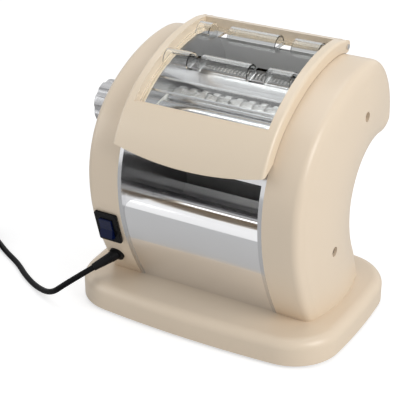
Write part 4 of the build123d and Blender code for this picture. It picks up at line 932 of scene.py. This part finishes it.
class PASTA_OT_housings(bpy.types.Operator):
    """Crowned end housings with their openings"""

    bl_idname = "pasta.housings"
    bl_label = "Housings"

    def execute(self, context):
        values = context.scene.pasta_maker
        cream = finish("cream_housing", values.finishes.cream, 0.36, **CREAM)
        for side, name in ((1, "right_housing"), (-1, "left_housing")):
            shell = self.shell(name + "_shell", side, values.housing)
            self.bosses(shell, side)
            if side < 0:
                self.left_openings(shell)
            tidy_mesh(shell, angle=32)
            settle(shell, "frame", cream, [name])
        return {"FINISHED"}

    def rings(self, sizes):
        """Rings from the plate to the crown as (inset, x), and the crown's x at an inset."""
        edge, band = sizes.round_edge / MM, sizes.band / MM
        rings = [(0.0, x) for x in (PLATE_OUT, *BAND_RINGS, band)]
        for degree in EDGE_DEGREES:
            a = radians(degree)
            rings.append((edge * (1 - cos(a)), band + edge * sin(a)))
        start, foot = rings[-1]
        slope = 1 / np.tan(radians(EDGE_DEGREES[-1]))
        reach = 2 * (sizes.crown / MM - foot) / slope

        def crown(inset):
            t = np.clip((inset - start) / reach, 0, 1)
            return foot + slope * reach * (t - t * t / 2)

        return rings + [(inset, float(crown(inset))) for inset in CROWN_INSETS], crown

    def cap(self, inset, x, crown):
        """The crown inside the last ring: its points, their x and its faces."""
        ring = resample(outline_ring(-inset), RING_COUNT)
        first, last = ring[0], ring[-1]
        steps = int((last - first).length / CAP_EDGE_STEP)
        along_deck = [first + (last - first) * k / steps for k in range(1, steps)]
        edge = ring + along_deck[::-1]
        grid = np.array(
            [(y, z) for y in np.arange(*CAP_Y, CAP_STEP) for z in np.arange(*CAP_Z, CAP_STEP)]
        )
        grid = grid[distance_to(grid, as_array(edge + [first])) > CAP_GAP]
        outline = [tuple(range(len(edge)))]
        flat, _, faces, sources, _, _ = delaunay_2d_cdt(
            edge + [Vector(p) for p in grid], [], outline, 1, CAP_MERGE
        )
        places = as_array(flat)
        height = crown(distance_to(places, as_array(outline_ring(0.0))))
        fixed = np.array([any(s < RING_COUNT for s in source) for source in sources])
        height[fixed] = x
        beside = [set() for _ in flat]
        for face in faces:
            for i, a in enumerate(face):
                beside[a].add(face[i - 1])
                beside[face[i - 1]].add(a)
        beside = [np.array(sorted(s)) for s in beside]
        foot = crown(0)
        for _ in range(SMOOTH_ROUNDS):
            # Grid points outside the edge belong to no face and go to the foot of the crown.
            mean = np.array([height[around].mean() if len(around) else foot for around in beside])
            smooth = (1 - SMOOTH_SHARE) * height + SMOOTH_SHARE * mean
            height = np.where(fixed, height, smooth)
        return places, height, faces

    def shell(self, name, side, sizes):
        """One housing's wall: rings from the plate to the crown, closed by the cap."""
        rings, crown = self.rings(sizes)
        vertices, faces = [], []
        for inset, x in rings:
            ring = resample(outline_ring(-inset), RING_COUNT)
            vertices += [(side * x, BASE_Y + p.x, p.y) for p in ring]
        for k in range(len(rings) - 1):
            a, b = k * RING_COUNT, (k + 1) * RING_COUNT
            faces += [(a + i, a + i + 1, b + i + 1, b + i) for i in range(RING_COUNT - 1)]
        places, height, cap_faces = self.cap(*rings[-1], crown)
        start = len(vertices)
        vertices += [(side * x, BASE_Y + y, z) for (y, z), x in zip(places, height)]
        faces += [tuple(start + i for i in face) for face in cap_faces]
        shell = tidy_mesh(make_object(name, vertices, faces), angle=60, merge=0.05)
        self.face_out(shell, side)
        thick = shell.modifiers.new("Wall", "SOLIDIFY")
        thick.thickness = sizes.wall
        thick.offset = -1.0
        thick.use_even_offset = True
        return bake(shell)

    def face_out(self, shell, side):
        """Turns the open shell's faces to the outside."""
        total = sum(p.normal.x * p.area for p in shell.data.polygons)
        if total * side < 0:
            shell.data.flip_normals()

    def bosses(self, shell, side):
        """Bosses for the two screws with the stepped holes that take them."""
        low, high = (side * x for x in BOSS_SPAN)
        bottom, top = (side * x for x in HOLE_SPAN)
        for place in HOUSING_SCREWS:
            boss = stepped(low, (BOSS_RADIUS, high))
            combine(shell, lathe("boss", place, boss, segments=40), "UNION")
            hole = stepped(bottom, (SHANK_HOLE, side * SCREW_SEAT), (HEAD_HOLE, top))
            combine(shell, lathe("hole", place, hole, segments=40), "DIFFERENCE")

    def left_openings(self, shell):
        """Bore of the adjuster, and the seats of the switch and of the cord's gland."""
        low, high = SPINDLE_SPAN
        bore = lathe("bore", SPINDLE, stepped(low, (SPINDLE_BORE, high)), segments=40)
        combine(shell, bore, "DIFFERENCE")
        plane = face_plane(SWITCH_AT, SWITCH_LEAN)
        for wide, high, floor in SWITCH_POCKETS:
            pocket = prism("pocket", rectangle(wide, high), plane, floor, SWITCH_TOP)
            combine(shell, pocket, "DIFFERENCE")
        plane = face_plane(GLAND_AT, GLAND_LEAN)
        for radius, floor in GLAND_SEATS:
            seat = prism("gland seat", circle(radius, segments=40), plane, floor, GLAND_TOP)
            combine(shell, seat, "DIFFERENCE")


class PASTA_OT_cutters(bpy.types.Operator):
    """Cutting rollers: rows of ground discs on their shafts"""

    bl_idname = "pasta.cutters"
    bl_label = "Cutting rollers"

    def execute(self, context):
        tree = row_tree()
        for name, body, axis, wide, pitch, count, start, ridges in CUTTERS:
            ground = knurled(name + "_steel", (0.78, 0.78, 0.77), axis, ridges)
            disc = self.disc(wide)
            row = make_object(name + "_discs", [(0, 0, 0)], [])
            run_tree(
                row,
                tree,
                Piece=disc,
                Count=count,
                Start=(start * MM, (BASE_Y + axis[0]) * MM, axis[1] * MM),
                Step=(pitch * MM, 0, 0),
                Finish=ground,
            )
            bpy.data.objects.remove(disc)
            shaft = lathe(name + "_shaft", axis, SHAFT_PROFILE)
            shaft.data.materials.append(ground)
            roller = tidy_mesh(join(name + "_roller", [shaft, row]), angle=30)
            settle(roller, body, None, [name])
        return {"FINISHED"}

    def disc(self, wide):
        """One bevelled disc about the X axis."""
        half, bevel = wide / 2, min(DISC_BEVEL, wide * DISC_BEVEL_SHARE)
        rim = DISC_RADIUS - bevel
        profile = [(-half, DISC_HOLE), (-half, rim), (-half + bevel, DISC_RADIUS)]
        profile += [(-x, r) for x, r in reversed(profile)]
        return lathe("disc", (-BASE_Y, 0.0), profile, closed=True)


class PASTA_OT_screws(bpy.types.Operator):
    """Cross-head screws that hold the housings"""

    bl_idname = "pasta.screws"
    bl_label = "Housing screws"

    def execute(self, context):
        zinc = {"metallic": 1.0, "shift": 0.08, "grain": 1500, "bump": 0.1}
        steel = finish("screw_zinc", (0.6, 0.6, 0.62), 0.25, **zinc)
        head = self.screw()
        seats = [(s * SCREW_SEAT, BASE_Y + y, z) for s in (1, -1) for y, z in HOUSING_SCREWS]
        points = make_object("housing_screw_set", seats, [])
        facing = points.data.attributes.new("facing", "FLOAT_VECTOR", "POINT")
        facing.data.foreach_set("vector", [v for s in seats for v in (1 if s[0] > 0 else -1, 0, 0)])
        run_tree(points, seats_tree(), Piece=head, Twist=SCREW_TWIST, Finish=steel)
        bpy.data.objects.remove(head)
        tidy_mesh(points, angle=30)
        settle(points, "frame", None, ["housing_screws"])
        return {"FINISHED"}

    def screw(self):
        """One screw along Z with its seat at the origin: domed head, cross slot and shank."""
        angles = np.linspace(*DOME_ANGLES)
        dome = [(DOME_BASE + DOME_RISE * sin(a), DOME_RADIUS * cos(a)) for a in angles]
        profile = [*SCREW_PROFILE, *dome, (SCREW_TOP, 0)]
        screw = turned("screw", profile, 36, lambda x, r, a: (r * cos(a), r * sin(a), x))
        tidy_mesh(screw, angle=30)
        flat = Matrix.Identity(4)
        for sides in (SLOT_SIDES, SLOT_SIDES[::-1]):
            combine(screw, prism("slot", rectangle(*sides), flat, *SLOT_SPAN), "DIFFERENCE")
        return screw


class PASTA_OT_finishes(bpy.types.Operator):
    """Materials of the pieces that keep their solid shape"""

    bl_idname = "pasta.finishes"
    bl_label = "Finishes"

    def execute(self, context):
        colours = context.scene.pasta_maker.finishes
        steel = {"colour": tuple(colours.steel), "metallic": 1.0, "shift": 0.02}
        dull = {"colour": tuple(colours.black), "shift": 0.25, "clouds": 40, "specular": 0.12}
        made = {
            "cream": finish("cream_base", colours.cream, 0.36, **CREAM),
            "lid": finish("cream_lid", colours.lid_cream, 0.32, **LID_CREAM),
            "mirror": finish(
                "mirror_sheet", (0.9, 0.9, 0.91), 0.15, metallic=1.0, shift=0.01, grain=350,
                bump=0.006, stretch=(0.4, 1, 1), smudge=0.3,
            ),
            "plate": finish(
                "brushed_plate", roughness=0.24, grain=1200, bump=0.015, stretch=(1, 0.06, 1),
                anisotropic=0.3, smudge=0.12, **steel,
            ),
            # Rear panel: polished steel sheet made pale and half matt, a painted reflection of the
            # bright stripes that its polished face shows.
            "painted_reflection": finish(
                "satin_panel", (0.88, 0.88, 0.87), 0.3, metallic=0.35, shift=0.02, bump=0.008,
                stretch=(0.05, 1, 1), smudge=0.1,
            ),
            "bar": finish(
                "drawn_bar", roughness=0.16, grain=1500, bump=0.01, stretch=(0.05, 1, 1),
                smudge=0.1, **steel,
            ),
            "roller": finish(
                "polished_roller", (0.82, 0.82, 0.83), 0.1, metallic=1.0, shift=0.01, grain=1800,
                bump=0.008, stretch=(1, 0.08, 0.08), smudge=0.12,
            ),
            "zinc": finish(
                "zinc_plate", (0.55, 0.56, 0.58), 0.3, metallic=1.0, shift=0.12, grain=700,
                bump=0.12,
            ),
            "acetal": finish("acetal", (0.78, 0.77, 0.7), 0.45, shift=0.03, grain=1200),
            "sintered": finish(
                "sintered_iron", (0.16, 0.155, 0.15), 0.55, metallic=0.9, grain=3500, bump=0.3,
            ),
            "brass": finish(
                "turned_brass", (0.72, 0.52, 0.2), 0.3, metallic=1.0, shift=0.08, bump=0.08,
            ),
            "rubber": finish(
                "foot_rubber", (0.03, 0.03, 0.03), 0.75, shift=0.15, grain=2200, bump=0.25,
            ),
            "black": finish("switch_black", roughness=0.28, grain=2600, bump=0.1, **dull),
            "rocker": finish(
                "rocker_blue", (0.001, 0.006, 0.045), 0.2, shift=0.15, grain=2600, bump=0.04,
                clouds=40, specular=0.3,
            ),
            "gland": finish("gland_black", roughness=0.45, grain=2400, bump=0.15, **dull),
            "grey": finish(
                "case_grey", (0.22, 0.22, 0.23), 0.45, shift=0.08, grain=1500, bump=0.14,
            ),
            "knob": finish(
                "knob_grey", (0.52, 0.52, 0.53), 0.26, metallic=0.55, shift=0.03, grain=1100,
                bump=0.01, clouds=60, coat=0.3, smudge=0.1,
            ),
            "white": finish("white_nylon", (0.75, 0.75, 0.72), 0.45, shift=0.03, grain=1400),
            "nickel": finish("plug_nickel", (0.74, 0.71, 0.66), 0.18, metallic=1.0, bump=0.04),
            "clear": clear_plastic("clear_window", (0.97, 0.985, 0.98)),
        }
        for key, names in (
            ("cream", "base_cover"),
            ("lid", "lid_frame"),
            ("mirror", "front_panel"),
            ("plate", "left_side_plate right_side_plate cutter_guard smooth_scrapers"),
            ("painted_reflection", "rear_panel"),
            ("bar", "guard_rods carriage_bars tie_rods lid_pins"),
            ("bar", "adjuster_spindle output_shaft idler_pins"),
            ("roller", "front_smooth_roller rear_smooth_roller"),
            ("zinc", "base_screws frame_screws gearbox_screws retaining_clips motor_can"),
            ("acetal", "bridge_idler_gear cutter_idler_gear sheet_idler_gear front_drive_gear"),
            ("acetal", "fettuccine_gear_front fettuccine_gear_rear"),
            ("acetal", "tagliolini_gear_front tagliolini_gear_rear"),
            ("sintered", "front_pair_gear rear_pair_gear motor_gear"),
            ("brass", "bearing_bushes"),
            ("rubber", "rubber_feet motor_cradle"),
            ("black", "switch_body lid_switch base_plate"),
            ("rocker", "switch_rocker"),
            ("gland", "cable_gland plug_body"),
            ("grey", "gearbox_case cutter_combs lid_switch_plunger"),
            ("knob", "adjuster_knob"),
            ("white", "bearing_block_left bearing_block_right terminal_block"),
            ("nickel", "plug_pins"),
            ("clear", "lid_window"),
        ):
            for name in names.split():
                for slot in NODES[name].material_slots:
                    slot.material = made[key]
        return {"FINISHED"}


# ------------------------------------------------------------------ panel and registration
class PASTA_PT_panel(bpy.types.Panel):
    """Steps and sizes of the pasta maker"""

    bl_idname = "PASTA_PT_panel"
    bl_label = "Pasta Maker"
    bl_space_type = "VIEW_3D"
    bl_region_type = "UI"
    bl_category = "Pasta Maker"

    def draw(self, context):
        settings = context.scene.pasta_maker
        for operator in STEPS:
            self.layout.operator(operator.bl_idname)
        for group in (settings.finishes, settings.housing, settings.cord, settings.stage):
            box = self.layout.box()
            for name in group.bl_rna.properties.keys():
                if name not in ("rna_type", "name"):
                    box.prop(group, name)


STEPS = (
    PASTA_OT_stage,
    PASTA_OT_cord,
    PASTA_OT_housings,
    PASTA_OT_cutters,
    PASTA_OT_screws,
    PASTA_OT_finishes,
)
GROUPS = (PastaFinishes, PastaHousing, PastaCord, PastaStage, PastaSettings)
CLASSES = (*GROUPS, *STEPS, PASTA_PT_panel)


def register():
    for cls in CLASSES:
        bpy.utils.register_class(cls)
    bpy.types.Scene.pasta_maker = bpy.props.PointerProperty(type=PastaSettings)


def unregister():
    del bpy.types.Scene.pasta_maker
    for cls in reversed(CLASSES):
        bpy.utils.unregister_class(cls)


def main():
    register()
    for operator in STEPS:
        group, name = operator.bl_idname.split(".")
        getattr(getattr(bpy.ops, group), name)()


if __name__ == "__main__":
    main()
